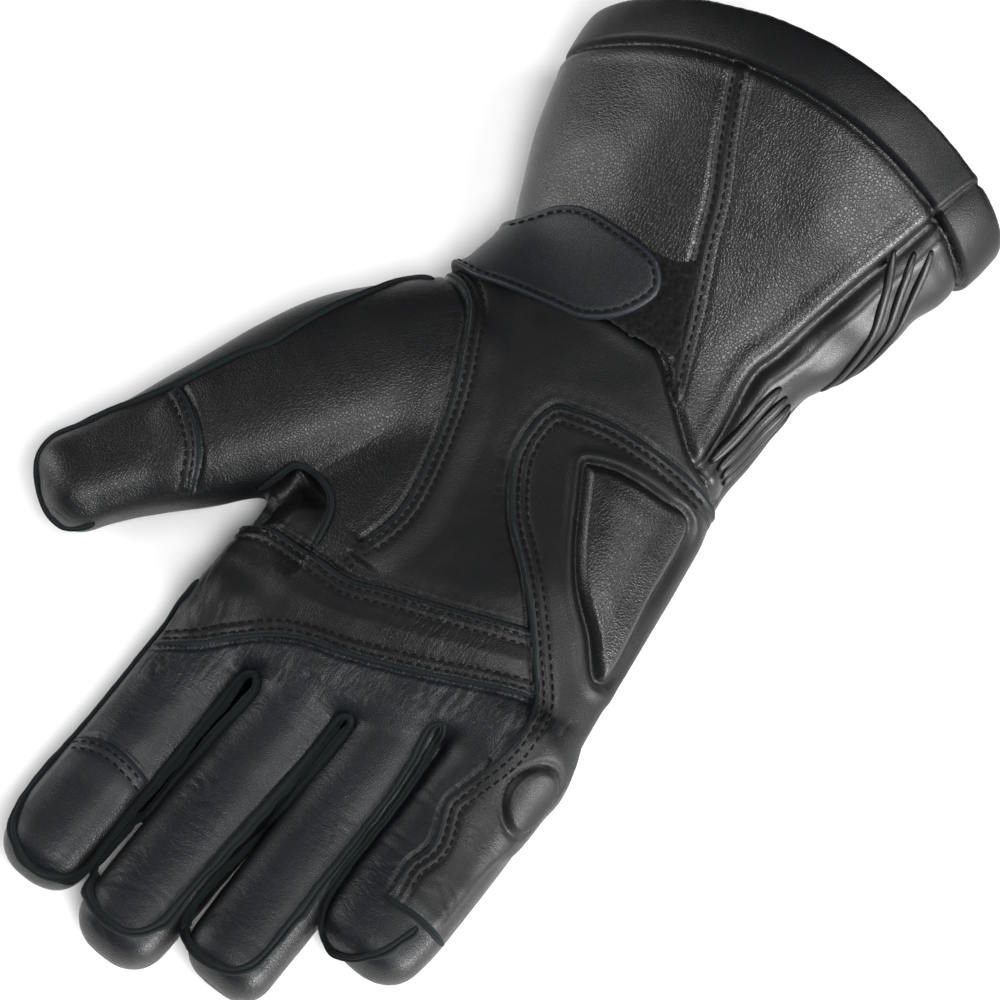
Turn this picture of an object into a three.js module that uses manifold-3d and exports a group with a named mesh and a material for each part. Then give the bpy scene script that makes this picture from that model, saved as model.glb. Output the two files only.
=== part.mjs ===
// A leather motorcycle gauntlet for the right hand, laid palm up on a surface, in millimetres. +Z points up
// out of the palm, +Y runs from the fingertips to the mouth of the cuff, and the thumb is on the -X side.
// The drawing's origin is on that surface, wristY on the fingers' side of the wrist seam, and the finished
// glove is centred over the middle of its own box.
import * as THREE from "three";
import { mergeVertices } from "three/addons/utils/BufferGeometryUtils.js";
import Module from "manifold-3d";

const wasm = await Module();
wasm.setup();

// Sizes of the hand
const wall = 2.4; // leather and lining together
const seamGap = 0.3; // clearance between pieces that are sewn to each other
const handLength = 132; // wrist seam to the crotch of the index finger
const handWidth = 124; // across the knuckles
const handHeight = 46; // at the wrist seam
const wristY = 45; // where the hand meets the cuff
const palmHollow = 3.5; // depth of the dent in the middle of the palm
const heelMound = 2.0; // height of the swell under the little finger's side
const handSquare = 3.0; // exponent of a finger's section, where an oval has 2
const thumbSquare = 2.6;

// Sizes of the fingers
const fingerHeight = 25.5; // palm face to back
const fingerLift = 4; // how far the tips curl up from the surface
const fingerRoot = 16; // how deep a finger is let into the hand
const fingerBase = -0.7; // where the fingers' taper starts, as a share of the hand's length
const tipRound = 12; // length of the rounded end, seen from above
const indexLength = 87.5;
const middleLength = 94.5;
const ringLength = 89;
const littleLength = 70.5;
const fingerWidth = 27.8; // middle finger
const thumbLength = 129;
const thumbWidth = 53; // across the ball of the thumb
const thumbHeight = 36;
const thumbLift = 7;
const thumbTipRound = 13;
const thumbSplay = 30.2; // degrees between the thumb and the fingers

// Sizes of the cuff
const cuffLength = 110; // wrist seam to the mouth
const mouthWidth = 141;
const mouthHeight = 86;
const rimCrest = 2.4; // how far the mouth's edge stands out at its crest
const rimArch = 11.5; // how far it falls back to its sides
const rimLean = 0.12; // the crest's place, as a share of the mouth's width to the little finger's side
const hemWidth = 16.5;
const hemThickness = 1.3; // of the folded band, on each side of the wall

// Sizes of what is sewn on
const overlay = 1.2; // thickness of a reinforcing layer
const padRise = 2.6; // height of a pad's crown over its edge
const padShoulder = 3; // width of the slope around a pad
const patchThickness = 0.8; // hook and loop patch
const strapThickness = 2.0;
const weltThickness = 1.0; // raw edges of a finger's seam
const weltHeight = 2.6;
const pipingRadius = 1.5;
const pipingStep = 0.036; // between two pipings, as a share of the cuff's length
const pipingTurn = 5; // and in degrees around it
const ribRadius = 1.7;
const seamStripWidth = 4.4;
const cuffBackZ = 17.6; // the seam between the cuff's front and its back

// Heights of the seams that run around the hand, the fingers and the thumb
const palmSeamZ = 20.5;
const tipSeamRise = 3.5; // the palm seam climbs this far on its way to the fingertips
const thumbSeamZ = 25;
const backSeamZ = 9;

// How a tip closes: exponents of its outline seen from above and from the side, and the blunt share of its
// height
const tipPlan = 2.4;
const tipSide = 4;
const tipBlunt = 0.18;

// How finely the lofts and the lines are cut
const bodySides = 20;
const fingerSides = 12;
const thumbSides = 12;
const tipRings = 3;
const fingerRings = 3;
const cordSides = 6;
const padSides = 14;
const rimSteps = 14;
const far = 400; // beyond every edge of the glove

// Sections of the hand and the cuff. along: share of the hand's length (below 0) or the cuff's (above 0)
// from the wrist seam. left, right: shares of the width. top: share of the height. square: exponent of the
// section. lean: how far the crown leans to the little finger's side, and the foot away from it, as a share
// of the width.
const handRows = [
  { along: -1.03, left: -0.455, right: 0.54, top: 0.585, square: 3.0 },
  { along: -0.795, left: -0.452, right: 0.535, top: 0.75, square: 3.0 },
  { along: -0.645, left: -0.442, right: 0.505, top: 0.84, square: 2.9 },
  { along: -0.49, left: -0.39, right: 0.483, top: 0.89, square: 2.8 },
  { along: -0.34, left: -0.37, right: 0.46, top: 0.92, square: 2.7 },
  { along: -0.17, left: -0.4, right: 0.433, top: 0.955, square: 2.6 },
  { along: 0, left: -0.44, right: 0.4, top: 1.0, square: 2.5 },
];
const cuffRows = [
  { along: 0.12, left: -0.38, right: 0.358, top: 0.55, square: 2.4, lean: 0.01 },
  { along: 0.23, left: -0.37, right: 0.363, top: 0.59, square: 2.3, lean: 0.02 },
  { along: 0.36, left: -0.41, right: 0.376, top: 0.66, square: 2.2, lean: 0.03 },
  { along: 0.52, left: -0.462, right: 0.434, top: 0.755, square: 2.1, lean: 0.04 },
  { along: 0.72, left: -0.497, right: 0.469, top: 0.865, square: 2.0, lean: 0.055 },
  { along: 0.95, left: -0.51, right: 0.497, top: 0.96, square: 2.0, lean: 0.065 },
  { along: 1.2, left: -0.515, right: 0.51, top: 1.02, square: 2.0, lean: 0.07 },
];

// The fingers. root, tip: middle of the finger across the hand, as shares of the hand's width. crotch:
// where it starts, as a share of the hand's length. rootWidth, tipWidth: shares of the finger width.
const fingers = [
  { name: "index", length: indexLength, crotch: -0.98, root: -0.337, tip: -0.328, rootWidth: 1.02,
    tipWidth: 0.95 },
  { name: "middle", length: middleLength, crotch: -0.96, root: -0.08, tip: -0.066, rootWidth: 0.97,
    tipWidth: 0.98 },
  { name: "ring", length: ringLength, crotch: -0.91, root: 0.15, tip: 0.183, rootWidth: 0.95,
    tipWidth: 1.0 },
  { name: "little", length: littleLength, crotch: -0.83, root: 0.395, tip: 0.416, rootWidth: 1.12,
    tipWidth: 1.13 },
];

// The thumb. along: share of its length. off: middle, and half: half width, as shares of its width. low,
// high: shares of its height above its lift.
const thumbRows = [
  { along: -0.06, off: -0.03, half: 0.4, low: -0.16, high: 0.94 },
  { along: 0.06, off: -0.05, half: 0.485, low: -0.17, high: 1.0 },
  { along: 0.23, off: 0, half: 0.5, low: -0.12, high: 1.0 },
  { along: 0.41, off: -0.01, half: 0.47, low: -0.03, high: 0.97 },
  { along: 0.61, off: -0.015, half: 0.394, low: 0.02, high: 0.88 },
  { along: 0.78, off: 0, half: 0.31, low: 0.04, high: 0.8 },
  { along: 0.88, off: 0.004, half: 0.285, low: 0.05, high: 0.77 },
];

const handX = (share) => share * handWidth;
const handY = (share) => wristY + share * handLength;
const cuffX = (share) => share * mouthWidth;
const cuffY = (share) => wristY + share * cuffLength;
const crotchY = (finger) => handY(finger.crotch);
const tipY = (finger) => crotchY(finger) - finger.length;

// A smooth value between the rows of a table, at a place that its key column gives
function sample(rows, key, place, column) {
  const count = rows.length;
  let i = 0;
  while (i < count - 2 && rows[i + 1][key] < place) i += 1;
  const span = rows[i + 1][key] - rows[i][key];
  const t = Math.min(1, Math.max(0, (place - rows[i][key]) / span));
  const slope = (j) => {
    const [a, b] = [rows[Math.max(0, j - 1)], rows[Math.min(count - 1, j + 1)]];
    return (b[column] - a[column]) / (b[key] - a[key]);
  };
  const t2 = t * t;
  const t3 = t2 * t;
  return (
    rows[i][column] * (2 * t3 - 3 * t2 + 1) +
    rows[i + 1][column] * (3 * t2 - 2 * t3) +
    slope(i) * span * (t3 - 2 * t2 + t) +
    slope(i + 1) * span * (t3 - t2)
  );
}

// One section: a squarish oval from low to high, cut flat at the floor. It is across the direction (dx,
// dy).
function section({ x, y, dx, dy, half, low, high, square, sides, floor, dent, lean = 0 }) {
  const middle = (low + high) / 2;
  const tall = (high - low) / 2;
  return Array.from({ length: sides }, (_, k) => {
    const angle = (2 * Math.PI * k) / sides;
    const across = Math.sign(Math.cos(angle)) * Math.abs(Math.cos(angle)) ** (2 / square) * half;
    const up = Math.sign(Math.sin(angle)) * Math.abs(Math.sin(angle)) ** (2 / square) * tall;
    const aside = across + (lean * up) / tall;
    const px = x - dy * aside;
    const py = y + dx * aside;
    const sunk = up > 0 && dent ? dent(px, py) * Math.min(1, up / tall) : 0;
    return new THREE.Vector3(px, py, Math.max(floor, middle + up - sunk));
  });
}

// A closed skin through rings of equally many points, with flat ends
function loft(rings) {
  const sides = rings[0].length;
  const points = rings.flat();
  const triangles = [];
  rings.slice(1).forEach((_, r) => {
    for (let k = 0; k < sides; k += 1) {
      const a = r * sides + k;
      const b = r * sides + ((k + 1) % sides);
      triangles.push(a, b, a + sides, b, b + sides, a + sides);
    }
  });
  const cap = (start, ring, flip) => {
    const middle = ring.reduce((sum, p) => sum.add(p), new THREE.Vector3()).divideScalar(sides);
    points.push(middle);
    for (let k = 0; k < sides; k += 1) {
      const [a, b] = [start + k, start + ((k + 1) % sides)];
      triangles.push(...(flip ? [b, a, points.length - 1] : [a, b, points.length - 1]));
    }
  };
  cap(0, rings[0], true);
  cap((rings.length - 1) * sides, rings.at(-1), false);
  const geometry = new THREE.BufferGeometry().setFromPoints(points);
  geometry.setIndex(triangles);
  return geometry;
}

// A closed three.js geometry as a manifold-3d solid with its faces pointing out
function solid(geometry) {
  const bare = geometry.clone();
  bare.deleteAttribute("normal");
  bare.deleteAttribute("uv");
  const merged = mergeVertices(bare, 1e-4);
  const triVerts = new Uint32Array(merged.index.array);
  const vertProperties = new Float32Array(merged.attributes.position.array);
  const made = new wasm.Manifold(new wasm.Mesh({ numProp: 3, vertProperties, triVerts }));
  if (made.volume() > 0) return made;
  for (let i = 0; i < triVerts.length; i += 3) [triVerts[i], triVerts[i + 1]] = [triVerts[i + 1],
  triVerts[i]];
  return new wasm.Manifold(new wasm.Mesh({ numProp: 3, vertProperties, triVerts }));
}

const floorOf = (grow) => Math.max(0, -grow);
const join = (...solids) => solids.reduce((whole, piece) => whole.add(piece));

// The dent in the palm and the swell of its heel. u, v: their middles, wide, long: their half sizes, all as
// shares of the hand's width and length.
const palmForms = [
  { depth: palmHollow, u: -0.05, v: -0.4, wide: 0.16, long: 0.2 },
  { depth: -heelMound, u: 0.33, v: -0.33, wide: 0.2, long: 0.25 },
];

// How deep the palm lies below the oval section
function palmDent(x, y) {
  return palmForms.reduce((sum, { depth, u, v, wide, long }) => {
    const aside = (x - handX(u)) / (wide * handWidth);
    const ahead = (y - handY(v)) / (long * handLength);
    return sum + depth * Math.exp(-(aside ** 2) - ahead ** 2);
  }, 0);
}

// Sections of the hand and the cuff in millimetres
const bodyRows = [
  ...handRows.map((row) => ({
    y: handY(row.along), left: handX(row.left), right: handX(row.right), high: row.top * handHeight,
    square: row.square,
    lean: 0,
  })),
  ...cuffRows.map((row) => ({
    y: cuffY(row.along), left: cuffX(row.left), right: cuffX(row.right), high: row.top * mouthHeight,
    square: row.square,
    lean: cuffX(row.lean),
  })),
];
const flattening = 3; // how much of the oval is pressed flat on the surface below
const bodyAt = (y, column) => sample(bodyRows, "y", y, column);

function bodySection(y, grow) {
  const left = bodyAt(y, "left");
  const right = bodyAt(y, "right");
  return section({
    x: (left + right) / 2, y, dx: 0, dy: -1, half: (right - left) / 2 + grow,
    low: -flattening - grow, high: bodyAt(y, "high") + grow, square: bodyAt(y, "square"),
    sides: bodySides, floor: floorOf(grow), dent: palmDent, lean: bodyAt(y, "lean"),
  });
}

// The point of a section of the hand or the cuff at an angle, in degrees up from the little finger's side
function bodyPoint(y, degrees, grow) {
  const angle = THREE.MathUtils.degToRad(degrees);
  const [left, right, high] = ["left", "right", "high"].map((column) => bodyAt(y, column));
  const power = 2 / bodyAt(y, "square");
  const tall = (high + flattening) / 2 + grow;
  const up = Math.sign(angle) * Math.abs(Math.sin(angle)) ** power;
  const across = Math.cos(angle) ** power * ((right - left) / 2 + grow);
  const lean = bodyAt(y, "lean") * up;
  return new THREE.Vector3((left + right) / 2 + across + lean, y, (high - flattening) / 2 + up * tall);
}

// The hand and the cuff as one tube, grown by so much all round
function body(grow) {
  return solid(loft(bodyRows.map((row) => bodySection(row.y, grow))));
}

// A rounded end: shares of the width and the height left at each step of the way to the tip
const tipSpread = 0.8; // under 1, the rings crowd to the very tip
const tipReach = 0.995; // the last ring stops just short of a point
const tipSteps = Array.from({ length: tipRings }, (_, k) => {
  const reach = Math.sin((Math.PI / 2) * ((k + 1) / tipRings) ** tipSpread) * tipReach;
  const height = (1 - reach ** tipSide) ** (1 / 3) * (1 - tipBlunt) + tipBlunt;
  return { reach, width: (1 - reach ** tipPlan) ** (1 / tipPlan), height };
});

function fingerSection(finger, y, grow, widthShare = 1, heightShare = 1) {
  const share = (handY(fingerBase) - y) / (handY(fingerBase) - tipY(finger));
  const out = Math.max(0, share);
  const half = (fingerWidth * THREE.MathUtils.lerp(finger.rootWidth, finger.tipWidth, share)) / 2;
  const lift = fingerLift * out ** 2 - flattening * (1 - out);
  const high = fingerHeight + (fingerLift * out) / 2;
  const squeeze = ((1 - heightShare) * (high - lift)) / 2;
  return section({
    x: handX(THREE.MathUtils.lerp(finger.root, finger.tip, share)), y, dx: 0, dy: -1,
    half: (half + grow) * widthShare,
    low: lift - grow + squeeze, high: high + grow - squeeze, square: handSquare, sides: fingerSides,
    floor: floorOf(grow),
  });
}

function fingerTube(finger, grow) {
  const end = tipY(finger);
  const straightEnd = end + tipRound;
  const rootY = crotchY(finger) + fingerRoot;
  const rings = Array.from({ length: fingerRings + 1 }, (_, k) =>
    fingerSection(finger, THREE.MathUtils.lerp(rootY, straightEnd, k / fingerRings), grow),
  );
  tipSteps.forEach(({ reach, width, height }) =>
    rings.push(fingerSection(finger, straightEnd - (tipRound + grow) * reach, grow, width, height)),
  );
  return solid(loft(rings));
}

// The thumb runs along its own line, turned away from the fingers
const thumbTurn = THREE.MathUtils.degToRad(thumbSplay);
const thumbDirection = { x: -Math.sin(thumbTurn), y: -Math.cos(thumbTurn) };
const thumbRootX = handX(-0.365);
const thumbRootY = handY(-0.111);

function thumbPoint(along, across) {
  return {
    x: thumbRootX + thumbDirection.x * along + thumbDirection.y * across,
    y: thumbRootY + thumbDirection.y * along - thumbDirection.x * across,
  };
}

function thumbSection(along, grow, widthShare = 1, heightShare = 1) {
  const at = (column) => sample(thumbRows, "along", along / thumbLength, column);
  const middle = thumbPoint(along, at("off") * thumbWidth);
  const low = thumbLift + at("low") * thumbHeight;
  const high = thumbLift + at("high") * thumbHeight;
  const squeeze = ((1 - heightShare) * (high - low)) / 2;
  return section({
    x: middle.x, y: middle.y, dx: thumbDirection.x, dy: thumbDirection.y,
    half: (at("half") * thumbWidth + grow) * widthShare, low: low - grow + squeeze,
    high: high + grow - squeeze,
    square: thumbSquare, sides: thumbSides, floor: floorOf(grow),
  });
}

function thumbTube(grow) {
  const straightEnd = thumbLength - thumbTipRound;
  const rings = thumbRows.map((row) => thumbSection(row.along * thumbLength, grow));
  tipSteps.forEach(({ reach, width, height }) =>
    rings.push(thumbSection(straightEnd + (thumbTipRound + grow) * reach, grow, width, height)),
  );
  return solid(loft(rings));
}

// An upright block over an outline of [x, y] points, right through the glove
function prism(outline) {
  const shape = new THREE.Shape(outline.map(([x, y]) => new THREE.Vector2(x, y)));
  const geometry = new THREE.ExtrudeGeometry(shape, { depth: 2 * far, bevelEnabled: false });
  return solid(geometry.translate(0, 0, -far));
}

// A smooth line through [x, y] points, moved sideways by so much to the right of its run
function line(points, steps, side = 0) {
  const curve = new THREE.SplineCurve(points.map(([x, y]) => new THREE.Vector2(x, y)));
  return Array.from({ length: steps + 1 }, (_, k) => {
    const p = curve.getPoint(k / steps);
    const t = curve.getTangent(k / steps);
    return [p.x + t.y * side, p.y - t.x * side];
  });
}

// The region along a line, half the width to each side of it
function ribbon(points, steps, width) {
  return [...line(points, steps, width / 2), ...line(points, steps, -width / 2).reverse()];
}

// Seams and outlines. Each point is [share of the hand's width, share of the hand's length].
const onHand = (points) => points.map(([u, v]) => [handX(u), handY(v)]);
const onCuff = (points) => points.map(([u, v]) => [cuffX(u), cuffY(v)]);

const wristSeam = onHand([
  [-0.6, 0.05], [-0.4, 0.045], [-0.16, 0.1], [0.04, 0.12], [0.11, 0.11], [0.21, 0.045], [0.35, -0.03],
  [0.6, -0.04],
]);
const thumbSeam = onHand([
  [-0.7, 0.02], [-0.47, 0.015], [-0.355, -0.03], [-0.28, -0.14], [-0.22, -0.26], [-0.165, -0.44],
  [-0.157, -0.55],
  [-0.2, -0.68],
]);
const thumbBackSeam = onHand([
  [-0.7, 0.02], [-0.46, 0.005], [-0.415, -0.12], [-0.4, -0.3], [-0.405, -0.45], [-0.43, -0.555],
  [-0.46, -0.66],
]);
const thumbCrotch = onHand([
  [-0.252, -0.7], [-0.3, -0.6], [-0.35, -0.563], [-0.4, -0.553], [-0.44, -0.575], [-0.47, -0.66],
]);
const stripUpper = onHand([
  [-0.5, -0.76], [-0.4, -0.715], [-0.25, -0.71], [-0.145, -0.708], [-0.065, -0.68], [0.08, -0.632],
  [0.19, -0.592],
  [0.275, -0.56], [0.36, -0.53],
]);
const stripLower = onHand([
  [-0.5, -1.1], [-0.36, -1.028], [-0.29, -0.965], [-0.225, -0.91], [-0.145, -0.87], [-0.04, -0.84],
  [0.12, -0.78],
  [0.28, -0.71], [0.4, -0.66],
]);
const sidePanelEdge = onHand([
  [0.6, -0.068], [0.4, -0.062], [0.16, -0.075], [0.04, -0.1], [-0.018, -0.125], [-0.03, -0.2],
  [-0.01, -0.28],
  [0.065, -0.38], [0.16, -0.455], [0.24, -0.525], [0.32, -0.605], [0.385, -0.675], [0.405, -0.735],
  [0.405, -0.81],
  [0.37, -0.92], [0.36, -0.965], [0.395, -1.05], [0.38, -1.12], [0.39, -1.19],
]);
const sidePanelEnd = sidePanelEdge.at(-1)[1];
const heelPadOutline = onHand([
  [0.137, -0.19], [0.2, -0.165], [0.32, -0.148], [0.395, -0.15], [0.43, -0.33], [0.465, -0.54],
  [0.385, -0.48],
  [0.305, -0.42], [0.24, -0.345], [0.18, -0.255],
]);
const knucklePadMiddle = onHand([[0.492, -0.84]])[0];
const knucklePadHalf = [6.2, 10.5];
const knucklePadTurn = 20;
const indexPatchEdge = onHand([[-0.5, -1.37], [-0.4, -1.325], [-0.33, -1.312], [-0.25, -1.318],
[-0.2, -1.33]]);
const thumbPatchEdge = onHand([
  [-0.87, -0.545], [-0.806, -0.576], [-0.742, -0.598], [-0.685, -0.629], [-0.637, -0.667], [-0.605, -0.712],
  [-0.573, -0.795], [-0.55, -0.86],
]);

const gussetSeam = onCuff([
  [0.41, 1.0], [0.4, 0.87], [0.372, 0.71], [0.337, 0.54], [0.296, 0.335], [0.277, 0.25], [0.29, 0.12],
  [0.31, -0.1],
]);
const frontSeam = onCuff([
  [-0.133, 1.0], [-0.128, 0.86], [-0.062, 0.68], [0.0, 0.54], [0.042, 0.41], [0.092, 0.28], [0.135, 0.15],
  [0.165, 0.06],
]);
const pipingRows = [0, 1, 2].map((row) =>
  [
    { along: 0.71, turn: 46 }, { along: 0.62, turn: 36 }, { along: 0.53, turn: 23 }, { along: 0.45,
      turn: 11 },
    { along: 0.38, turn: 0 },
  ].map(({ along, turn }) => ({ along: along + row * pipingStep, turn: turn - row * pipingTurn })),
);
const elasticTurns = [5, 14, 23, 32]; // degrees up the little finger's side
const elasticRun = [0.01, 0.15, 0.28]; // shares of the cuff's length
const elasticOutline = onCuff([[0.29, 0.0], [0.6, 0.0], [0.6, 0.29], [0.29, 0.29]]);
const strapOutline = onCuff([
  [-0.41, 0.045], [-0.345, 0.03], [-0.28, 0.04], [-0.16, 0.065], [-0.085, 0.085], [-0.027, 0.14],
  [0.008, 0.21],
  [0.016, 0.26], [-0.005, 0.3], [-0.047, 0.327], [-0.15, 0.335], [-0.225, 0.336], [-0.283, 0.31],
  [-0.325, 0.27],
  [-0.37, 0.24], [-0.48, 0.24],
]);
const loopOutline = onCuff([
  [-0.28, 0.12], [-0.14, 0.12], [0.01, 0.135], [0.1, 0.15], [0.118, 0.17], [0.09, 0.25], [0.05, 0.37],
  [0.0, 0.345],
  [-0.14, 0.315], [-0.26, 0.29],
]);

// The mouth's edge bows out, with its crest to the little finger's side
function rimY(x) {
  const share = (2 * (x - rimLean * mouthWidth)) / mouthWidth;
  return wristY + cuffLength + rimCrest - rimArch * share ** 2;
}

const beyond = (edge) => [...edge, [far, edge.at(-1)[1]], [far, far], [-far, far], [-far, edge[0][1]]];
const moved = (edge, dy) => edge.map(([x, y]) => [x, y + dy]);
const rimSpan = 1.1; // the edge is drawn a little wider than the mouth
const rimEdge = Array.from({ length: rimSteps + 1 }, (_, k) => {
  const x = mouthWidth * (k / rimSteps - 0.5) * rimSpan;
  return [x, rimY(x)];
});
const hemEdge = moved(rimEdge, -hemWidth);

// The line where the hand ends between its fingers
const knuckleLine = onHand([
  [-0.7, -0.97], [-0.21, -0.985], [-0.195, -0.985], [0.035, -0.945], [0.05, -0.94], [0.272, -0.845],
  [0.29, -0.835],
  [0.7, -0.8],
]);

// The glove's whole outside, grown by so much all round
function gloveHull(grow) {
  const tubes = fingers.map((finger) => fingerTube(finger, grow));
  const knuckles = prism([...moved(knuckleLine, -grow), [far, far], [-far, far]]);
  return join(body(grow).intersect(knuckles), thumbTube(grow), ...tubes);
}

const outside = gloveHull(0);
const shell = outside.subtract(gloveHull(-wall)).subtract(prism(beyond(rimEdge)));

const half = seamGap / 2;

// A block right across the glove, over an outline of [y, z] points
function bar(profile) {
  const shape = new THREE.Shape(profile.map(([y, z]) => new THREE.Vector2(y, z)));
  const geometry = new THREE.ExtrudeGeometry(shape, { depth: 2 * far, bevelEnabled: false });
  const [across, along, up] = [new THREE.Vector3(1, 0, 0), new THREE.Vector3(0, 1, 0), new THREE.Vector3(0,
  0, 1)];
  return solid(geometry.translate(0, 0, -far).applyMatrix4(new THREE.Matrix4().makeBasis(along, up,
  across)));
}

// The palm seam runs level along the hand and climbs towards the fingertips
const climbStart = handY(-0.9);
const climbEnd = handY(-1.45);
const climb = [[far, 0], [climbStart, 0], [climbEnd, tipSeamRise], [-far, tipSeamRise]];
const seamLine = (rise) => climb.map(([y, lift]) => [y, palmSeamZ + rise + lift]);
const overSeam = (rise) => bar([...seamLine(rise), [-far, far], [far, far]]);
const underSeam = (rise) => bar([...seamLine(rise), [-far, -far], [far, -far]]);
const overHeight = (z) => bar([[-far, z], [far, z], [far, far], [-far, far]]);
const underHeight = (z) => bar([[-far, -far], [far, -far], [far, z], [-far, z]]);

// An outline moved outwards by so much. A corner moves at most 1 / sharpest times as far as a side.
const sharpest = 0.5;
function grown(outline, gap) {
  const ring = outline.map(([x, y]) => new THREE.Vector2(x, y));
  const turn = THREE.ShapeUtils.isClockWise(ring) ? -1 : 1;
  return ring.map((p, i) => {
    const before = p.clone().sub(ring.at(i - 1)).normalize();
    const after = ring[(i + 1) % ring.length].clone().sub(p).normalize();
    const out = new THREE.Vector2(before.y + after.y, -before.x - after.x).normalize();
    const sharp = Math.max(sharpest, Math.sqrt((1 + before.dot(after)) / 2));
    return [p.x + (out.x * turn * gap) / sharp, p.y + (out.y * turn * gap) / sharp];
  });
}

const root = new THREE.Group();
const grainLeather = { color: 0x1b1d20, roughness: 0.42, metalness: 0 };
const smoothLeather = { color: 0x202328, roughness: 0.36, metalness: 0 };
const rawEdge = { color: 0x14201f, roughness: 0.85, metalness: 0 };
const loopFabric = { color: 0x0c0c0d, roughness: 1, metalness: 0 };

// Adds a solid to the glove as a named mesh. A crumb that a slanted cut splits off is left out.
function add(name, whole, look) {
  const piece = whole.decompose().reduce((a, b) => (b.volume() > a.volume() ? b : a));
  const mesh = piece.getMesh();
  const position = new Float32Array(mesh.numVert * 3);
  for (let i = 0; i < mesh.numVert; i += 1) {
    position.set(mesh.vertProperties.subarray(i * mesh.numProp, i * mesh.numProp + 3), i * 3);
  }
  const geometry = new THREE.BufferGeometry();
  geometry.setAttribute("position", new THREE.BufferAttribute(position, 3));
  geometry.setIndex(new THREE.BufferAttribute(new Uint32Array(mesh.triVerts), 1));
  geometry.computeVertexNormals();
  const made = new THREE.Mesh(geometry, new THREE.MeshStandardMaterial(look));
  made.name = name;
  root.add(made);
}

// The hand's shell: palm leather above the seam, back leather below it, and the thumb's two panels
const wristEdge = line(wristSeam, 10);
const cuffZone = (gap) => prism(beyond(moved(wristEdge, gap)));
const handShell = shell.subtract(cuffZone(-half));
const thumbCorner = onHand([[-0.52, -0.78]])[0];
const cornerSlope = 1.3; // of the border that runs off between the thumb and the index finger
const thumbEnd = [
  thumbCorner, [-far, thumbCorner[1] - (far + thumbCorner[0]) * cornerSlope], [-far, thumbSeam[0][1]],
];
const palmThumbOutline = [...line(thumbSeam, 9), ...line(thumbCrotch, 8), ...thumbEnd];
const backThumbOutline = [...line(thumbBackSeam, 8), ...thumbEnd];
const thumbPanel = handShell.intersect(prism(palmThumbOutline));
const offThumb = prism(grown(palmThumbOutline, seamGap));
const offThumbBack = prism(grown(backThumbOutline, seamGap));
const palmSide = handShell.intersect(overSeam(half));
add("palm_leather", palmSide.subtract(offThumb), smoothLeather);
const thumbBack = thumbPanel.intersect(prism(backThumbOutline)).intersect(underHeight(thumbSeamZ - half));
add("thumb_back", thumbBack, grainLeather);
const thumbSeamZone = offThumbBack.intersect(underHeight(thumbSeamZ + half));
add("thumb_palm", thumbPanel.intersect(overSeam(half)).subtract(thumbSeamZone), grainLeather);

// The strips between the fingers stop short of the fingertips, and the back leather takes in the rest
const stripEnd = 0.8 * tipRound;
function stripOutline(left, right, gap) {
  const [xl, xr] = [left, right].map((finger) => handX((finger.root + finger.tip) / 2));
  const [yl, yr] = [left, right].map((finger) => tipY(finger) + stripEnd - gap);
  const top = Math.max(crotchY(left), crotchY(right)) + 2 * wall + gap;
  const split = (xl + xr) / 2;
  return [[xl - gap, top], [xl - gap, yl], [split, yl], [split, yr], [xr + gap, yr], [xr + gap, top]];
}
const backSide = handShell.intersect(underSeam(-half));
let back = backSide.subtract(offThumbBack);
fingers.slice(1).forEach((right, i) => {
  const left = fingers[i];
  const strip = backSide.intersect(prism(stripOutline(left, right,
  0))).subtract(underHeight(backSeamZ + half));
  back = back.subtract(prism(stripOutline(left, right, seamGap)).subtract(underHeight(backSeamZ - half)));
  add(`side_strip_${left.name}_${right.name}`, strip, grainLeather);
});
add("back_leather", back, grainLeather);

// Raw edges that stand out along the palm seam of each finger and of the thumb
const palmWelt = overSeam(-weltHeight / 2).intersect(underSeam(weltHeight / 2));
const weltReach = seamGap + weltThickness;
const sewnHull = gloveHull(seamGap);
fingers.forEach((finger, i) => {
  const start = crotchY(finger) - 2 * wall;
  const outerStart = finger.name === "little" ? sidePanelEnd - seamGap : start;
  const middle = handX(finger.tip);
  const room = prism([
    [-far, start], [middle, start], [middle, outerStart], [far, outerStart], [far, -far], [-far, -far],
  ]);
  const ridge = fingerTube(finger, weltReach).intersect(palmWelt).intersect(room).subtract(sewnHull);
  const neighbour = fingers[i - 1];
  const clear = neighbour ? ridge.subtract(fingerTube(neighbour, weltReach + seamGap)) : ridge;
  add(`${finger.name}_welt`, clear, rawEdge);
});
const thumbWeltFoot = overHeight(thumbSeamZ - weltHeight / 2);
const thumbWeltHeight = thumbWeltFoot.intersect(underHeight(thumbSeamZ + weltHeight / 2));
const weltStart = { outer: 0.07, inner: 0.56 }; // shares of the thumb's length, on its two sides
const thumbWeltRoom = [
  [weltStart.outer, far], [weltStart.outer, 0], [weltStart.inner, 0], [weltStart.inner, -far], [far, -far],
  [far, far],
].map(([share, across]) => {
  const { x, y } = thumbPoint(share * thumbLength, across);
  return [x, y];
});
const thumbRidge = thumbTube(weltReach).intersect(thumbWeltHeight).intersect(prism(thumbWeltRoom));
add("thumb_welt", thumbRidge.subtract(sewnHull), rawEdge);

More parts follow.
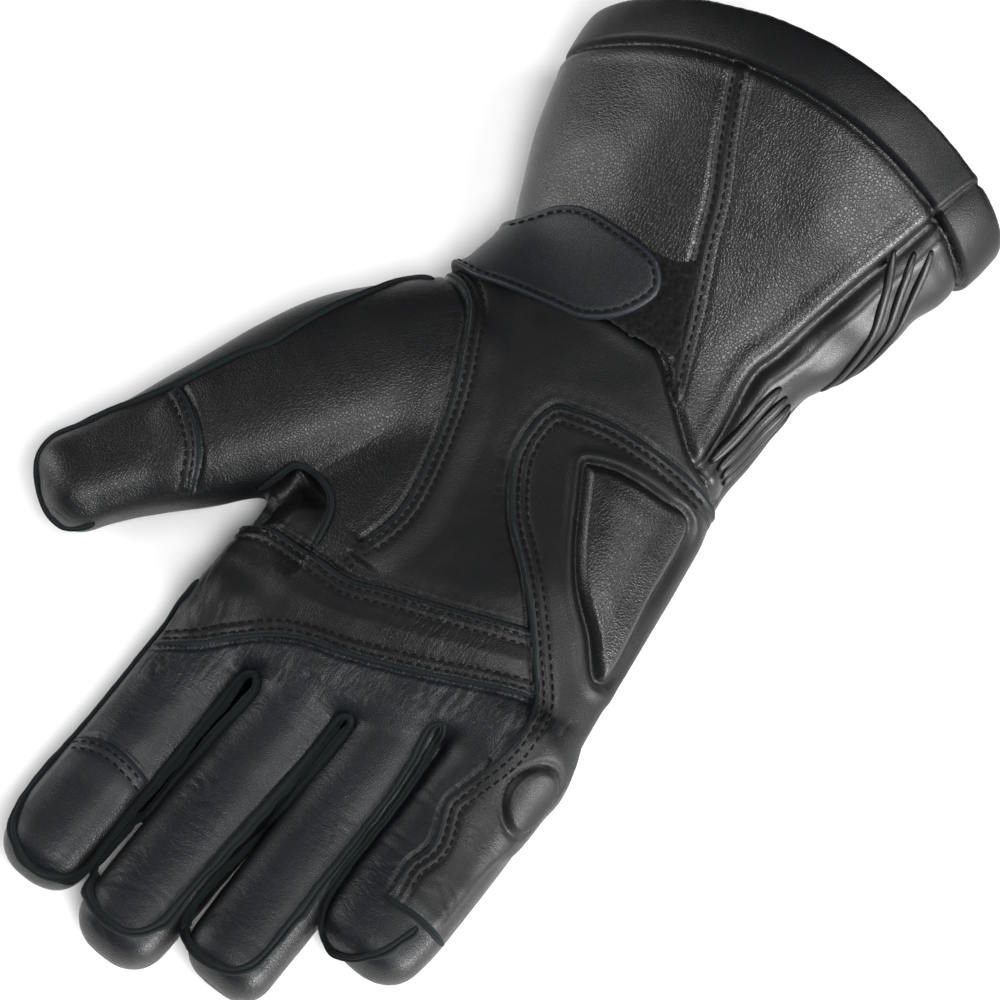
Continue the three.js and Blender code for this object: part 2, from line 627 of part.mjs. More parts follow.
// Layers sewn on the palm
const layer = (low, high) => gloveHull(high).subtract(gloveHull(low));
const skinRise = weltHeight / 2 + seamGap;
const skin = layer(seamGap, seamGap + overlay);
const palmSkin = skin.intersect(overSeam(skinRise));
const sideEdge = line(sidePanelEdge, 24);
const sideOutline = [...sideEdge, [far, sideEdge.at(-1)[1]], [far, sideEdge[0][1]]];
const strip = prism([...line(stripUpper, 12), ...line(stripLower, 12).reverse()]);
add("side_panel", palmSkin.intersect(prism(sideOutline)), smoothLeather);
add("knuckle_strip", palmSkin.intersect(strip).subtract(prism(grown(sideOutline, seamGap))), smoothLeather);
const indexPatch = [
  ...line(indexPatchEdge, 5), [indexPatchEdge.at(-1)[0], -far], [-far, -far], [-far, indexPatchEdge[0][1]],
];
add("index_tip_patch", palmSkin.intersect(prism(indexPatch)), smoothLeather);
const thumbPatch = [
  ...line(thumbPatchEdge, 7), [thumbPatchEdge.at(-1)[0], -far], [-far, -far], [-far, thumbPatchEdge[0][1]],
];
const thumbSkin = skin.intersect(overHeight(thumbSeamZ + skinRise));
add("thumb_tip_patch", thumbSkin.intersect(prism(thumbPatch)), smoothLeather);

// Pads: a low step over the whole outline and a crown inside its shoulder
function pad(name, outline) {
  const base = overlay + 2 * seamGap;
  const foot = layer(base, base + padRise / 2).intersect(prism(outline));
  const crown = layer(base, base + padRise).intersect(prism(grown(outline, -padShoulder)));
  add(name, join(foot, crown).intersect(overSeam(skinRise)), smoothLeather);
}
pad("heel_pad", heelPadOutline);
const padTurn = THREE.MathUtils.degToRad(knucklePadTurn);
const oval = Array.from({ length: padSides }, (_, k) => {
  const angle = (2 * Math.PI * k) / padSides;
  const spot = new THREE.Vector2(Math.cos(angle) * knucklePadHalf[0], Math.sin(angle) * knucklePadHalf[1]);
  spot.rotateAround(new THREE.Vector2(), padTurn);
  return [knucklePadMiddle[0] + spot.x, knucklePadMiddle[1] + spot.y];
});
pad("knuckle_pad", oval);

// Cuff: two front panels, the gusset on the little finger's side, the back, and the folded hem
const cuffShell = shell.intersect(cuffZone(half)).subtract(prism(beyond(moved(hemEdge, -half))));
const rightOf = (edge, gap) => {
  const side = edge.map(([x, y]) => [x + gap, y]);
  return prism([[side[0][0], far], ...side, [side.at(-1)[0], -far], [far, -far], [far, far]]);
};
const gussetLine = line(gussetSeam, 9);
const frontLine = line(frontSeam, 9);
const front = cuffShell.intersect(overHeight(cuffBackZ + half));
add("cuff_front_thumb", front.subtract(rightOf(frontLine, -half)), grainLeather);
const frontLittle = front.intersect(rightOf(frontLine, half)).subtract(rightOf(gussetLine, -half));
add("cuff_front_little", frontLittle, grainLeather);
add("cuff_gusset", front.intersect(rightOf(gussetLine, half)), grainLeather);
add("cuff_back", cuffShell.intersect(underHeight(cuffBackZ - half)), grainLeather);
const hem = body(hemThickness).subtract(body(-wall - hemThickness));
const hemZone = prism(beyond(moved(hemEdge, half))).subtract(prism(beyond(rimEdge)));
add("hem_band", hem.intersect(hemZone), smoothLeather);

// What is sewn on the cuff: the strip over its front seam, the loop patch, the strap, pipings and elastic
const bodyLayer = (low, high) => body(high).subtract(body(low)).intersect(overHeight(skinRise));
const hemClear = prism(beyond(moved(hemEdge, -seamGap)));
const seamStrip = bodyLayer(seamGap, seamGap + overlay).intersect(prism(ribbon(frontSeam, 9,
seamStripWidth)));
const wristClear = cuffZone(seamGap + half);
add("cuff_seam_strip", seamStrip.intersect(wristClear).subtract(hemClear), grainLeather);
const loops = bodyLayer(seamGap, seamGap + patchThickness).intersect(prism(loopOutline));
add("loop_patch", loops.subtract(prism(ribbon(frontSeam, 9, seamStripWidth + 2 * seamGap))), loopFabric);
const strapBase = 2 * seamGap + patchThickness;
const strapLayer = bodyLayer(strapBase, strapBase + strapThickness).intersect(prism(strapOutline));
add("wrist_strap", strapLayer.subtract(thumbTube(seamGap)), smoothLeather);

// A cord under the leather, along points of { along, turn }: a share of the cuff's length and degrees up
// its side
function ridge(points, radius, steps) {
  const path = new THREE.CatmullRomCurve3(points.map(({ along, turn }) => bodyPoint(cuffY(along), turn,
  seamGap)));
  const round = Array.from({ length: cordSides }, (_, k) => {
    const angle = (2 * Math.PI * k) / cordSides;
    return new THREE.Vector2(radius * Math.cos(angle), radius * Math.sin(angle));
  });
  const options = { steps, extrudePath: path, bevelEnabled: false };
  return solid(new THREE.ExtrudeGeometry(new THREE.Shape(round), options));
}

pipingRows.forEach((points, i) => {
  const underHem = body(hemThickness + seamGap).intersect(hemClear);
  const cord = ridge(points, pipingRadius, 6).subtract(body(seamGap)).subtract(underHem);
  add(`gusset_piping_${i + 1}`, cord, grainLeather);
});
const ribs = elasticTurns.map((turn) => {
  const run = elasticRun.map((along) => ({ along, turn }));
  return ridge(run, ribRadius, 3);
});
const elasticSheet = body(seamGap + overlay).intersect(prism(elasticOutline));
add("shirred_elastic", join(elasticSheet, ...ribs).subtract(body(seamGap)).intersect(wristClear),
smoothLeather);

// The origin goes below the middle of the whole glove
const box = new THREE.Box3().setFromObject(root);
const middle = box.getCenter(new THREE.Vector3());
root.position.set(-middle.x, -middle.y, -box.min.z);

export default root;
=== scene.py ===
"""A black leather riding gauntlet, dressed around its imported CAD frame.

The outer skin is one smooth surface, made from the same sections as the CAD solids, with its seams, pads and folds
raised on it. It is then cut along its seams into the panels that stand for the CAD nodes. Stitches, raw edges, the
strap and the cords are separate pieces on top. Lengths are in millimetres until a mesh is made.
"""

import math

import bpy
import numpy as np
import openvdb
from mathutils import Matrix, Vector
from mathutils.bvhtree import BVHTree


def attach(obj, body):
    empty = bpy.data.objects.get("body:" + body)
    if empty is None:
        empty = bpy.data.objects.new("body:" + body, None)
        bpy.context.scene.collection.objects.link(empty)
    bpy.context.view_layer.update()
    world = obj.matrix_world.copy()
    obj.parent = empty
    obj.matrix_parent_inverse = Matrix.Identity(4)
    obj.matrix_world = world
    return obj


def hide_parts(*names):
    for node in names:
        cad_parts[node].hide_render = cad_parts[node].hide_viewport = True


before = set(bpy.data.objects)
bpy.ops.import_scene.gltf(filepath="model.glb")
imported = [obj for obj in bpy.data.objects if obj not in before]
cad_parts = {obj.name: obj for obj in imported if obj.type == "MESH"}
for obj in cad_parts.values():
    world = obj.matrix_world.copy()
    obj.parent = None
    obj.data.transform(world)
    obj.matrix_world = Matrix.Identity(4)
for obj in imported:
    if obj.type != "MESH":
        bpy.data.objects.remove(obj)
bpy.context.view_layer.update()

MM = 0.001
ORIGIN = np.array([24.3118, 9.9244, 0.0])  # where the drawing's origin lies in the frame
FAR = 400.0
PITCH = 0.82  # of the grid that the skin is drawn on

# Sizes, as in the CAD
WALL = 2.4
HAND_LENGTH, HAND_WIDTH, HAND_HEIGHT = 132.0, 124.0, 46.0
WRIST_Y = 45.0
CUFF_LENGTH, MOUTH_WIDTH, MOUTH_HEIGHT = 110.0, 141.0, 86.0
FLATTENING = 3.0
PALM_HOLLOW, HEEL_MOUND = 3.5, 2.0
FINGER_WIDTH, FINGER_HEIGHT, FINGER_LIFT, FINGER_ROOT, TIP_ROUND = 27.8, 25.5, 4.0, 16.0, 12.0
FINGER_SWELL = {"index": 0.9, "middle": 0.9, "ring": 0.9, "little": 2.1}  # padding pushes the fingers out
LITTLE_SHIFT = -1.2
ROOT_RISE = {"index": 6.0, "middle": 7.0, "ring": 9.0, "little": 13.0}  # and up where they leave the hand
THUMB_LENGTH, THUMB_WIDTH, THUMB_HEIGHT, THUMB_LIFT, THUMB_ROUND = 129.0, 53.0, 36.0, 7.0, 13.0
THUMB_TURN = math.radians(30.2)
RIM_CREST, RIM_ARCH, RIM_LEAN, HEM_WIDTH, HEM_THICKNESS = 2.4, 11.5, 0.12, 16.5, 1.3
PALM_SEAM_Z, TIP_RISE, THUMB_SEAM_Z, BACK_SEAM_Z, CUFF_BACK_Z = 20.5, 3.5, 25.0, 9.0, 17.6

HAND_ROWS = [  # along, left, right, top, exponent, lean: shares of the hand's sizes
    (-1.03, -0.455, 0.54, 0.585, 3.0, 0),
    (-0.795, -0.452, 0.535, 0.75, 3.0, 0),
    (-0.645, -0.442, 0.505, 0.84, 2.9, 0),
    (-0.49, -0.39, 0.483, 0.89, 2.8, 0),
    (-0.34, -0.37, 0.46, 0.92, 2.7, 0),
    (-0.17, -0.4, 0.433, 0.955, 2.6, 0),
    (0, -0.44, 0.4, 1.0, 2.5, 0),
]
CUFF_ROWS = [  # the same, as shares of the cuff's sizes
    (0.12, -0.38, 0.358, 0.55, 2.4, 0.01),
    (0.23, -0.37, 0.363, 0.59, 2.3, 0.02),
    (0.36, -0.41, 0.376, 0.66, 2.2, 0.03),
    (0.52, -0.462, 0.434, 0.755, 2.1, 0.04),
    (0.72, -0.497, 0.469, 0.865, 2.0, 0.055),
    (0.95, -0.51, 0.497, 0.96, 2.0, 0.065),
    (1.2, -0.515, 0.51, 1.02, 2.0, 0.07),
]
FINGERS = {  # length, crotch, root, tip, root width, tip width
    "index": (87.5, -0.98, -0.337, -0.328, 1.02, 0.95),
    "middle": (94.5, -0.96, -0.08, -0.066, 0.97, 0.98),
    "ring": (89.0, -0.91, 0.15, 0.183, 0.95, 1.0),
    "little": (70.5, -0.83, 0.395, 0.416, 1.12, 1.13),
}
THUMB_ROWS = [  # along, middle, half width, low, high
    (-0.06, -0.03, 0.4, -0.16, 0.94),
    (0.06, -0.05, 0.485, -0.17, 1.0),
    (0.23, 0, 0.5, -0.12, 1.0),
    (0.41, -0.01, 0.47, -0.03, 0.97),
    (0.61, -0.015, 0.394, 0.02, 0.88),
    (0.78, 0, 0.31, 0.04, 0.8),
    (0.88, 0.004, 0.285, 0.05, 0.77),
]


def hand_x(u):
    return u * HAND_WIDTH


def hand_y(v):
    return WRIST_Y + v * HAND_LENGTH


def on_hand(points):
    return np.array([(hand_x(u), hand_y(v)) for u, v in points])


def on_cuff(points):
    return np.array([(u * MOUTH_WIDTH, WRIST_Y + v * CUFF_LENGTH) for u, v in points])


WRIST_SEAM = on_hand([(-0.6, 0.05), (-0.4, 0.045), (-0.16, 0.1), (0.04, 0.12), (0.11, 0.11), (0.21, 0.045),
                      (0.35, -0.03), (0.6, -0.04)])
THUMB_SEAM = on_hand([(-0.7, 0.02), (-0.47, 0.015), (-0.355, -0.03), (-0.28, -0.14), (-0.22, -0.26),
                      (-0.165, -0.44), (-0.157, -0.55), (-0.2, -0.68)])
THUMB_BACK_SEAM = on_hand([(-0.7, 0.02), (-0.46, 0.005), (-0.415, -0.12), (-0.4, -0.3), (-0.405, -0.45),
                           (-0.43, -0.555), (-0.46, -0.66)])
THUMB_CROTCH = on_hand([(-0.252, -0.7), (-0.3, -0.6), (-0.35, -0.563), (-0.4, -0.553), (-0.44, -0.575),
                        (-0.47, -0.66)])
STRIP_UPPER = on_hand([(-0.5, -0.76), (-0.4, -0.715), (-0.25, -0.71), (-0.145, -0.708), (-0.065, -0.68),
                       (0.08, -0.632), (0.19, -0.592), (0.275, -0.56), (0.36, -0.53)])
STRIP_LOWER = on_hand([(-0.5, -1.1), (-0.36, -1.028), (-0.29, -0.965), (-0.225, -0.91), (-0.145, -0.87),
                       (-0.04, -0.84), (0.12, -0.78), (0.28, -0.71), (0.4, -0.66)])
SIDE_EDGE = on_hand([(0.6, -0.068), (0.4, -0.062), (0.16, -0.075), (0.04, -0.1), (-0.018, -0.125), (-0.03, -0.2),
                     (-0.01, -0.28), (0.065, -0.38), (0.16, -0.455), (0.24, -0.525), (0.32, -0.605),
                     (0.385, -0.675), (0.405, -0.735), (0.405, -0.81), (0.37, -0.92), (0.36, -0.965),
                     (0.395, -1.05), (0.38, -1.12), (0.39, -1.19)])
HEEL_PAD = on_hand([(0.137, -0.19), (0.2, -0.165), (0.32, -0.148), (0.395, -0.15), (0.43, -0.33), (0.465, -0.54),
                    (0.385, -0.48), (0.305, -0.42), (0.24, -0.345), (0.18, -0.255)])
KNUCKLE_PAD_SEEN, KNUCKLE_PAD_HALF, KNUCKLE_PAD_TURN = (10.4, -88.8), (7.8, 10.6), math.radians(32)
INDEX_PATCH = on_hand([(-0.5, -1.37), (-0.4, -1.325), (-0.33, -1.312), (-0.25, -1.318), (-0.2, -1.33)])
THUMB_PATCH = on_hand([(-0.87, -0.545), (-0.806, -0.576), (-0.742, -0.598), (-0.685, -0.629), (-0.637, -0.667),
                       (-0.605, -0.712), (-0.573, -0.795), (-0.55, -0.86)])
GUSSET_SEAM = on_cuff([(0.41, 1.0), (0.4, 0.87), (0.372, 0.71), (0.337, 0.54), (0.296, 0.335), (0.277, 0.25),
                       (0.29, 0.12), (0.31, -0.1)])
FRONT_SEAM = on_cuff([(-0.133, 1.0), (-0.128, 0.86), (-0.062, 0.68), (0.0, 0.54), (0.042, 0.41), (0.092, 0.28),
                      (0.135, 0.15), (0.165, 0.06)])
STRAP = on_cuff([(-0.41, 0.045), (-0.345, 0.03), (-0.28, 0.04), (-0.16, 0.065), (-0.085, 0.085), (-0.027, 0.14),
                 (0.008, 0.21), (0.016, 0.26), (-0.005, 0.3), (-0.047, 0.327), (-0.15, 0.335), (-0.225, 0.336),
                 (-0.283, 0.31), (-0.325, 0.27), (-0.37, 0.24), (-0.48, 0.24)])
LOOP_PATCH = on_cuff([(-0.28, 0.12), (-0.14, 0.12), (0.01, 0.135), (0.1, 0.15), (0.118, 0.17), (0.09, 0.25),
                      (0.05, 0.37), (0.0, 0.345), (-0.14, 0.315), (-0.26, 0.29)])
PIPING_ROWS, PIPING_STEP, PIPING_TURN = [(0.71, 46), (0.62, 36), (0.53, 23), (0.45, 11), (0.38, 0)], 0.036, 5
ELASTIC_TURNS, ELASTIC_RUN = (5, 14, 23, 32), (0.01, 0.28)


# Curves, noise and blends
def smooth_line(points, per=8):
    """A Catmull-Rom curve through the points."""
    p = np.asarray(points, float)
    out = []
    for i in range(len(p) - 1):
        a, b, c, d = p[max(i - 1, 0)], p[i], p[i + 1], p[min(i + 2, len(p) - 1)]
        for t in np.arange(per) / per:
            v0, v1 = (c - a) / 2, (d - b) / 2
            out.append((2 * b - 2 * c + v0 + v1) * t**3 + (-3 * b + 3 * c - 2 * v0 - v1) * t**2 + v0 * t + b)
    return np.array(out + [p[-1]])


def resample(points, step):
    """The same curve with evenly spaced points."""
    run = np.r_[0, np.cumsum(np.linalg.norm(np.diff(points, axis=0), axis=1))]
    count = max(2, int(round(run[-1] / step)) + 1)
    at = np.linspace(0, run[-1], count)
    return np.stack([np.interp(at, run, points[:, k]) for k in range(points.shape[1])], 1)


def offset_line(points, side):
    """A plan curve moved sideways, to the right of its run."""
    t = np.gradient(points, axis=0)
    t /= np.linalg.norm(t, axis=1)[:, None]
    return points + side * np.stack([t[:, 1], -t[:, 0]], 1)


def hermite(rows, key, column, place):
    keys = np.array([r[key] for r in rows], float)
    values = np.array([r[column] for r in rows], float)
    last = len(keys) - 1
    before, after = np.maximum(np.arange(last + 1) - 1, 0), np.minimum(np.arange(last + 1) + 1, last)
    slope = (values[after] - values[before]) / (keys[after] - keys[before])
    i = np.clip(np.searchsorted(keys, place) - 1, 0, last - 1)
    span = keys[i + 1] - keys[i]
    t = np.clip((place - keys[i]) / span, 0, 1)
    return (values[i] * (2 * t**3 - 3 * t**2 + 1) + values[i + 1] * (3 * t**2 - 2 * t**3)
            + slope[i] * span * (t**3 - 2 * t**2 + t) + slope[i + 1] * span * (t**3 - t**2))


def noise(p, size, seed=0):
    """Smooth noise from -1 to 1, with bumps of about this size."""
    q = np.asarray(p, float) / size + 1000.5
    cell = np.floor(q).astype(np.int64)
    f = q - cell
    f = f * f * (3 - 2 * f)
    total = np.zeros(len(q))
    for corner in range(8):
        step = np.array([corner & 1, (corner >> 1) & 1, corner >> 2])
        c = cell + step
        h = (c[:, 0] * 73856093) ^ (c[:, 1] * 19349663) ^ (c[:, 2] * 83492791) ^ (seed * 668265263)
        h = ((h ^ (h >> 13)) * 1274126177) & 0xFFFFFFFF
        h = ((h ^ (h >> 15)) * 2246822519) & 0xFFFFFFFF
        weight = np.prod(np.where(step, f, 1 - f), axis=1)
        total += weight * (((h >> 8) & 0xFFFF) / 32767.5 - 1)
    return total


def step(x, low, high):
    t = np.clip((x - low) / (high - low), 0, 1)
    return t * t * (3 - 2 * t)


def bell(x, width):
    return np.exp(-((x / width) ** 2))


def least(a, b, soft):
    h = np.clip(0.5 + 0.5 * (b - a) / soft, 0, 1)
    return b * (1 - h) + a * h - soft * h * (1 - h)


def most(a, b, soft):
    return -least(-a, -b, soft)


def line_distance(points, x, y, reach=14.0):
    """Signed distance to a plan curve, above 0 to the right of its run, and how far along it. Far from it, 99."""
    d = np.full(x.shape, 99.0)
    run = np.zeros(x.shape)
    low, high = points.min(0) - reach, points.max(0) + reach
    near = np.flatnonzero((x > low[0]) & (x < high[0]) & (y > low[1]) & (y < high[1]))
    px, py = x[near], y[near]
    best, sign, at = np.full(len(near), 1e9), np.ones(len(near)), np.zeros(len(near))
    length = 0.0
    for a, b in zip(points[:-1], points[1:]):
        e = b - a
        size = math.hypot(*e)
        t = np.clip(((px - a[0]) * e[0] + (py - a[1]) * e[1]) / size**2, 0, 1)
        dx, dy = px - a[0] - t * e[0], py - a[1] - t * e[1]
        dd = dx * dx + dy * dy
        closer = dd < best
        best = np.where(closer, dd, best)
        sign = np.where(closer, np.sign(e[1] * dx - e[0] * dy), sign)
        at = np.where(closer, length + t * size, at)
        length += size
    d[near] = np.sqrt(best) * np.where(sign == 0, 1, sign)
    run[near] = at
    return d, run


def inside(outline, x, y):
    """Whether points lie in a closed plan outline."""
    found = np.zeros(x.shape, bool)
    for (x0, y0), (x1, y1) in zip(outline, np.roll(outline, -1, axis=0)):
        if y0 == y1:
            continue
        crosses = (y0 > y) != (y1 > y)
        found ^= crosses & (x < (x1 - x0) * (y - y0) / (y1 - y0) + x0)
    return found


def outline_distance(outline, x, y, reach=14.0):
    """Distance to a closed plan outline, above 0 inside it."""
    ring = np.vstack([outline, outline[:1]])
    d, run = line_distance(ring, x, y, reach)
    return np.where(inside(outline, x, y), np.abs(d), -np.abs(d)), run


# The outer form, as a field that is 0 on the surface and below 0 inside
BODY_ROWS = [(hand_y(a), hand_x(l), hand_x(r), t * HAND_HEIGHT, s, 0) for a, l, r, t, s, _ in HAND_ROWS] + [
    (WRIST_Y + a * CUFF_LENGTH, l * MOUTH_WIDTH, r * MOUTH_WIDTH, t * MOUTH_HEIGHT, s, n * MOUTH_WIDTH)
    for a, l, r, t, s, n in CUFF_ROWS
]
RUN = np.arange(-120.0, 200.0, 0.5)
BODY = {name: hermite(BODY_ROWS, 0, k, RUN) for k, name in enumerate(("y", "left", "right", "high", "square", "lean"))}


def body_at(y, name):
    return np.interp(y, RUN, BODY[name])


def tube(u, w, power, half, tall):
    """Distance to a squarish oval, from the shares u across and w up."""
    au, aw = np.abs(u) + 1e-6, np.abs(w) + 1e-6
    r = (au**power + aw**power) ** (1 / power)
    gx, gz = (au / r) ** (power - 1) / half, (aw / r) ** (power - 1) / tall
    return (r - 1) / np.hypot(gx, gz)


def palm_dent(x, y):
    hollow = bell(x - hand_x(-0.05), hand_x(0.16)) * bell(y - hand_y(-0.4), HAND_LENGTH * 0.2)
    mound = bell(x - hand_x(0.33), hand_x(0.2)) * bell(y - hand_y(-0.33), HAND_LENGTH * 0.25)
    return PALM_HOLLOW * hollow - HEEL_MOUND * mound


def body_field(x, y, z):
    left, right, high = body_at(y, "left"), body_at(y, "right"), body_at(y, "high")
    half, tall = (right - left) / 2, (high + FLATTENING) / 2
    middle = (high - FLATTENING) / 2
    w = (z - middle) / tall
    w = (z + palm_dent(x, y) * np.clip(w, 0, 1) - middle) / tall
    u = (x - (left + right) / 2 - body_at(y, "lean") * w) / half
    return tube(u, w, body_at(y, "square"), half, tall)


def tip_shares(t):
    return (1 - np.clip(t, 0, 1) ** 4) ** (1 / 3) * 0.82 + 0.18


def finger_tip_y(name):
    return hand_y(FINGERS[name][1]) - FINGERS[name][0]


def finger_field(name, x, y, z):
    length, crotch, root, tip, root_width, tip_width = FINGERS[name]
    end = finger_tip_y(name)
    share = (hand_y(-0.7) - y) / (hand_y(-0.7) - end)
    half = FINGER_WIDTH * (root_width + (tip_width - root_width) * share) / 2 + FINGER_SWELL[name] * step(share, 1.0, 0.75)
    out = np.maximum(share, 0)
    low = FINGER_LIFT * out**2 - FLATTENING * (1 - out)
    high = FINGER_HEIGHT + FINGER_LIFT * out / 2 + ROOT_RISE[name] * step(share, 0.55, -0.1)
    shift = LITTLE_SHIFT if name == "little" else 0.0
    u = (x - hand_x(root + (tip - root) * share) - shift) / half
    w = (z - (low + high) / 2) / ((high - low) / 2)
    t = (end + TIP_ROUND - y) / TIP_ROUND
    ahead = np.maximum(t, 0)
    plan = (np.abs(u) ** 2.4 + ahead**2.4) ** (1 / 2.4)
    side = np.abs(w) / tip_shares(t)
    d = tube(plan, side, 2.5, half, (high - low) / 2)
    return most(d, y - hand_y(crotch) - FINGER_ROOT - 3, 9.0)


THUMB_ROOT = (hand_x(-0.365), hand_y(-0.111))
THUMB_RUN = (-math.sin(THUMB_TURN), -math.cos(THUMB_TURN))


def thumb_place(along, across):
    return (THUMB_ROOT[0] + THUMB_RUN[0] * along + THUMB_RUN[1] * across,
            THUMB_ROOT[1] + THUMB_RUN[1] * along - THUMB_RUN[0] * across)


def thumb_field(x, y, z):
    dx, dy = x - THUMB_ROOT[0], y - THUMB_ROOT[1]
    along = dx * THUMB_RUN[0] + dy * THUMB_RUN[1]
    across = dx * THUMB_RUN[1] - dy * THUMB_RUN[0]
    grid = np.linspace(-0.3, 1.1, 281)
    off, half, low, high = (
        np.interp(along / THUMB_LENGTH, grid, hermite(THUMB_ROWS, 0, k, grid)) for k in (1, 2, 3, 4))
    half = half * THUMB_WIDTH
    low, high = THUMB_LIFT + low * THUMB_HEIGHT, THUMB_LIFT + high * THUMB_HEIGHT
    u = (across - off * THUMB_WIDTH) / half
    w = (z - (low + high) / 2) / ((high - low) / 2)
    t = (along - THUMB_LENGTH + THUMB_ROUND) / THUMB_ROUND
    plan = (np.abs(u) ** 2.4 + np.maximum(t, 0) ** 2.4) ** (1 / 2.4)
    d = tube(plan, np.abs(w) / tip_shares(t), 2.6, half, (high - low) / 2)
    return most(d, -along - 0.06 * THUMB_LENGTH, 3.0)


KNUCKLES = on_hand([(-0.7, -0.97), (-0.21, -0.985), (0.05, -0.94), (0.272, -0.845), (0.7, -0.8)])


def rim_y(x):
    return WRIST_Y + CUFF_LENGTH + RIM_CREST - RIM_ARCH * (2 * (x - RIM_LEAN * MOUTH_WIDTH) / MOUTH_WIDTH) ** 2


def hull_field(x, y, z, parts=("index", "middle", "ring", "little", "thumb")):
    body = most(body_field(x, y, z), np.interp(x, KNUCKLES[:, 0], KNUCKLES[:, 1]) - y, 7.0)
    d = least(body, thumb_field(x, y, z), 8.0) if "thumb" in parts else body
    for name in FINGERS:
        if name in parts:
            d = np.minimum(d, least(body, finger_field(name, x, y, z), 4.0))
    return most(d, -z, 1.5)


# The skin on a grid
LOW, HIGH = np.array([-124.0, -183.0, -3.0]), np.array([82.0, 162.0, 92.0])
CAVITY_END = hand_y(-0.45)


def skin_grid():
    """The glove with its wall, as values on a grid."""
    xs, ys, zs = (np.arange(LOW[k], HIGH[k], PITCH) for k in range(3))
    values = np.empty((len(xs), len(ys), len(zs)), np.float32)
    block = 24
    for j in range(0, len(ys), block):
        x, y, z = np.meshgrid(xs, ys[j : j + block], zs, indexing="ij")
        top, bottom = ys[min(j + block, len(ys)) - 1], ys[j]
        parts = [n for n in FINGERS if bottom < hand_y(FINGERS[n][1]) + FINGER_ROOT + 8] if bottom < -40 else []
        if bottom < 70:
            parts.append("thumb")
        outer = hull_field(x, y, z, parts)
        d = outer
        if top > CAVITY_END - 10:
            past_hem = y - rim_y(x) + HEM_WIDTH
            band = HEM_THICKNESS * step(past_hem, 0, 1.6)
            hollow = most(outer + WALL + band, (CAVITY_END - y) * 0.8, 8.0)
            d = most(outer - band, -hollow, 1.2)
            d = most(d, y - rim_y(x), 1.6)
        values[:, j : j + block] = np.clip(d, -4 * PITCH, 4 * PITCH)
    grid = openvdb.FloatGrid(4 * PITCH)
    grid.copyFromArray(values)
    grid.gridClass = openvdb.GridClass.LEVEL_SET
    points, quads = grid.convertToQuads(0.0)
    return points.astype(float) * PITCH + LOW, quads.astype(np.int64)


def vertex_normals(points, quads):
    a, b, c, d = (points[quads[:, k]] for k in range(4))
    faces = np.cross(c - a, d - b)
    normals = np.stack([np.bincount(quads.ravel(), np.repeat(faces[:, k], 4), len(points)) for k in range(3)], 1)
    return normals / np.maximum(np.linalg.norm(normals, axis=1), 1e-9)[:, None]


def relax(points, quads, rounds):
    """Evens the mesh out: each point moves towards the middle of its neighbours."""
    for _ in range(rounds):
        total = np.zeros_like(points)
        for k in range(4):
            for other in ((k + 1) % 4, (k + 3) % 4):
                for axis in range(3):
                    total[:, axis] += np.bincount(quads[:, k], points[quads[:, other], axis], len(points))
        count = np.bincount(quads.ravel(), minlength=len(points)) * 2
        points = points * 0.4 + 0.6 * total / np.maximum(count, 1)[:, None]
    return points


points, quads = skin_grid()
points = relax(points, quads, 3)
normals = vertex_normals(points, quads)
lowest = points[:, 2].argmin()
if normals[lowest, 2] > 0:
    quads = quads[:, ::-1]
    normals = -normals
print("skin", len(points), len(quads))


EYE = np.array([0.0, 0.0, 30.0]) + 1300 * np.array([0.2106, -0.2695, 0.9397])  # the camera, in millimetres
IMAGE_RIGHT, IMAGE_UP = np.array([0.788, 0.616, 0.0]), np.array([-0.5785, 0.7405, 0.342])
TO_CAMERA = np.array([0.2106, -0.2695, 0.9397])
depth = (EYE - points) @ TO_CAMERA
IMAGE_X, IMAGE_Y = ((points - EYE) @ IMAGE_RIGHT) * 1300 / depth, ((points - EYE) @ IMAGE_UP) * 1300 / depth


def sight_vertex(place):
    """The front vertex that the camera sees this far right and up of the picture's middle."""
    near = np.flatnonzero(np.hypot(IMAGE_X - place[0], IMAGE_Y - place[1]) < 1.2)
    return near[depth[near].argmin()]


X, Y, Z = points.T
UP = normals[:, 2]
OUTER = hull_field(X, Y, Z)
LINED = (OUTER < -1.3) & (Y > CAVITY_END - 6)
PAST_HEM = Y - rim_y(X) + HEM_WIDTH
SEAM_Z = PALM_SEAM_Z + TIP_RISE * np.clip((hand_y(-0.9) - Y) / (hand_y(-0.9) - hand_y(-1.45)), 0, 1)
ON_PALM = step(Z - SEAM_Z, -2.0, 2.0) * ~LINED
HAND_SIDE = line_distance(smooth_line(WRIST_SEAM), X, Y, FAR)[0] > 0
IN_HEM = PAST_HEM > 0

# Seams: a run in plan, the side that lies on top, and the rows of stitches inside its edge
height = np.zeros(len(points))
wear_and_highlight = np.zeros(len(points))
lap_curves = {}


def lap(name, points_in, thickness, rows, side=1, mask=1.0, ditch=1.1, roll=0.5):
    """Raises the panel on one side of a seam over its neighbour, and keeps the seam's curve."""
    global height, wear_and_highlight
    curve = resample(smooth_line(points_in), 1.5)
    s, run = line_distance(curve, X, Y)
    s = s * side
    near = step(np.abs(s), 14, 9)
    shape = roll * bell(s - 0.9, 0.8) - ditch * bell(s + 0.8, 0.8) - 0.35 * bell(s + 3, 3.0)
    for row in rows:
        shape = shape - 0.38 * bell(s - row, 0.65)
    shape = shape + 0.22 * bell(s - sum(rows) / len(rows), 0.8) + 0.1 * bell(s + 3.5, 2.5) * noise(np.stack([run * 1.2, s * 0.3, run * 0], 1), 1.6, 40)
    height = height + shape * near * mask
    # Paler rim on the raised edge of the top panel: partly rubbed wear, partly a painted highlight
    wear_and_highlight = np.maximum(wear_and_highlight, bell(s - 0.5, 0.8) * near * mask)
    lap_curves[name] = (curve, side, rows)
    return s


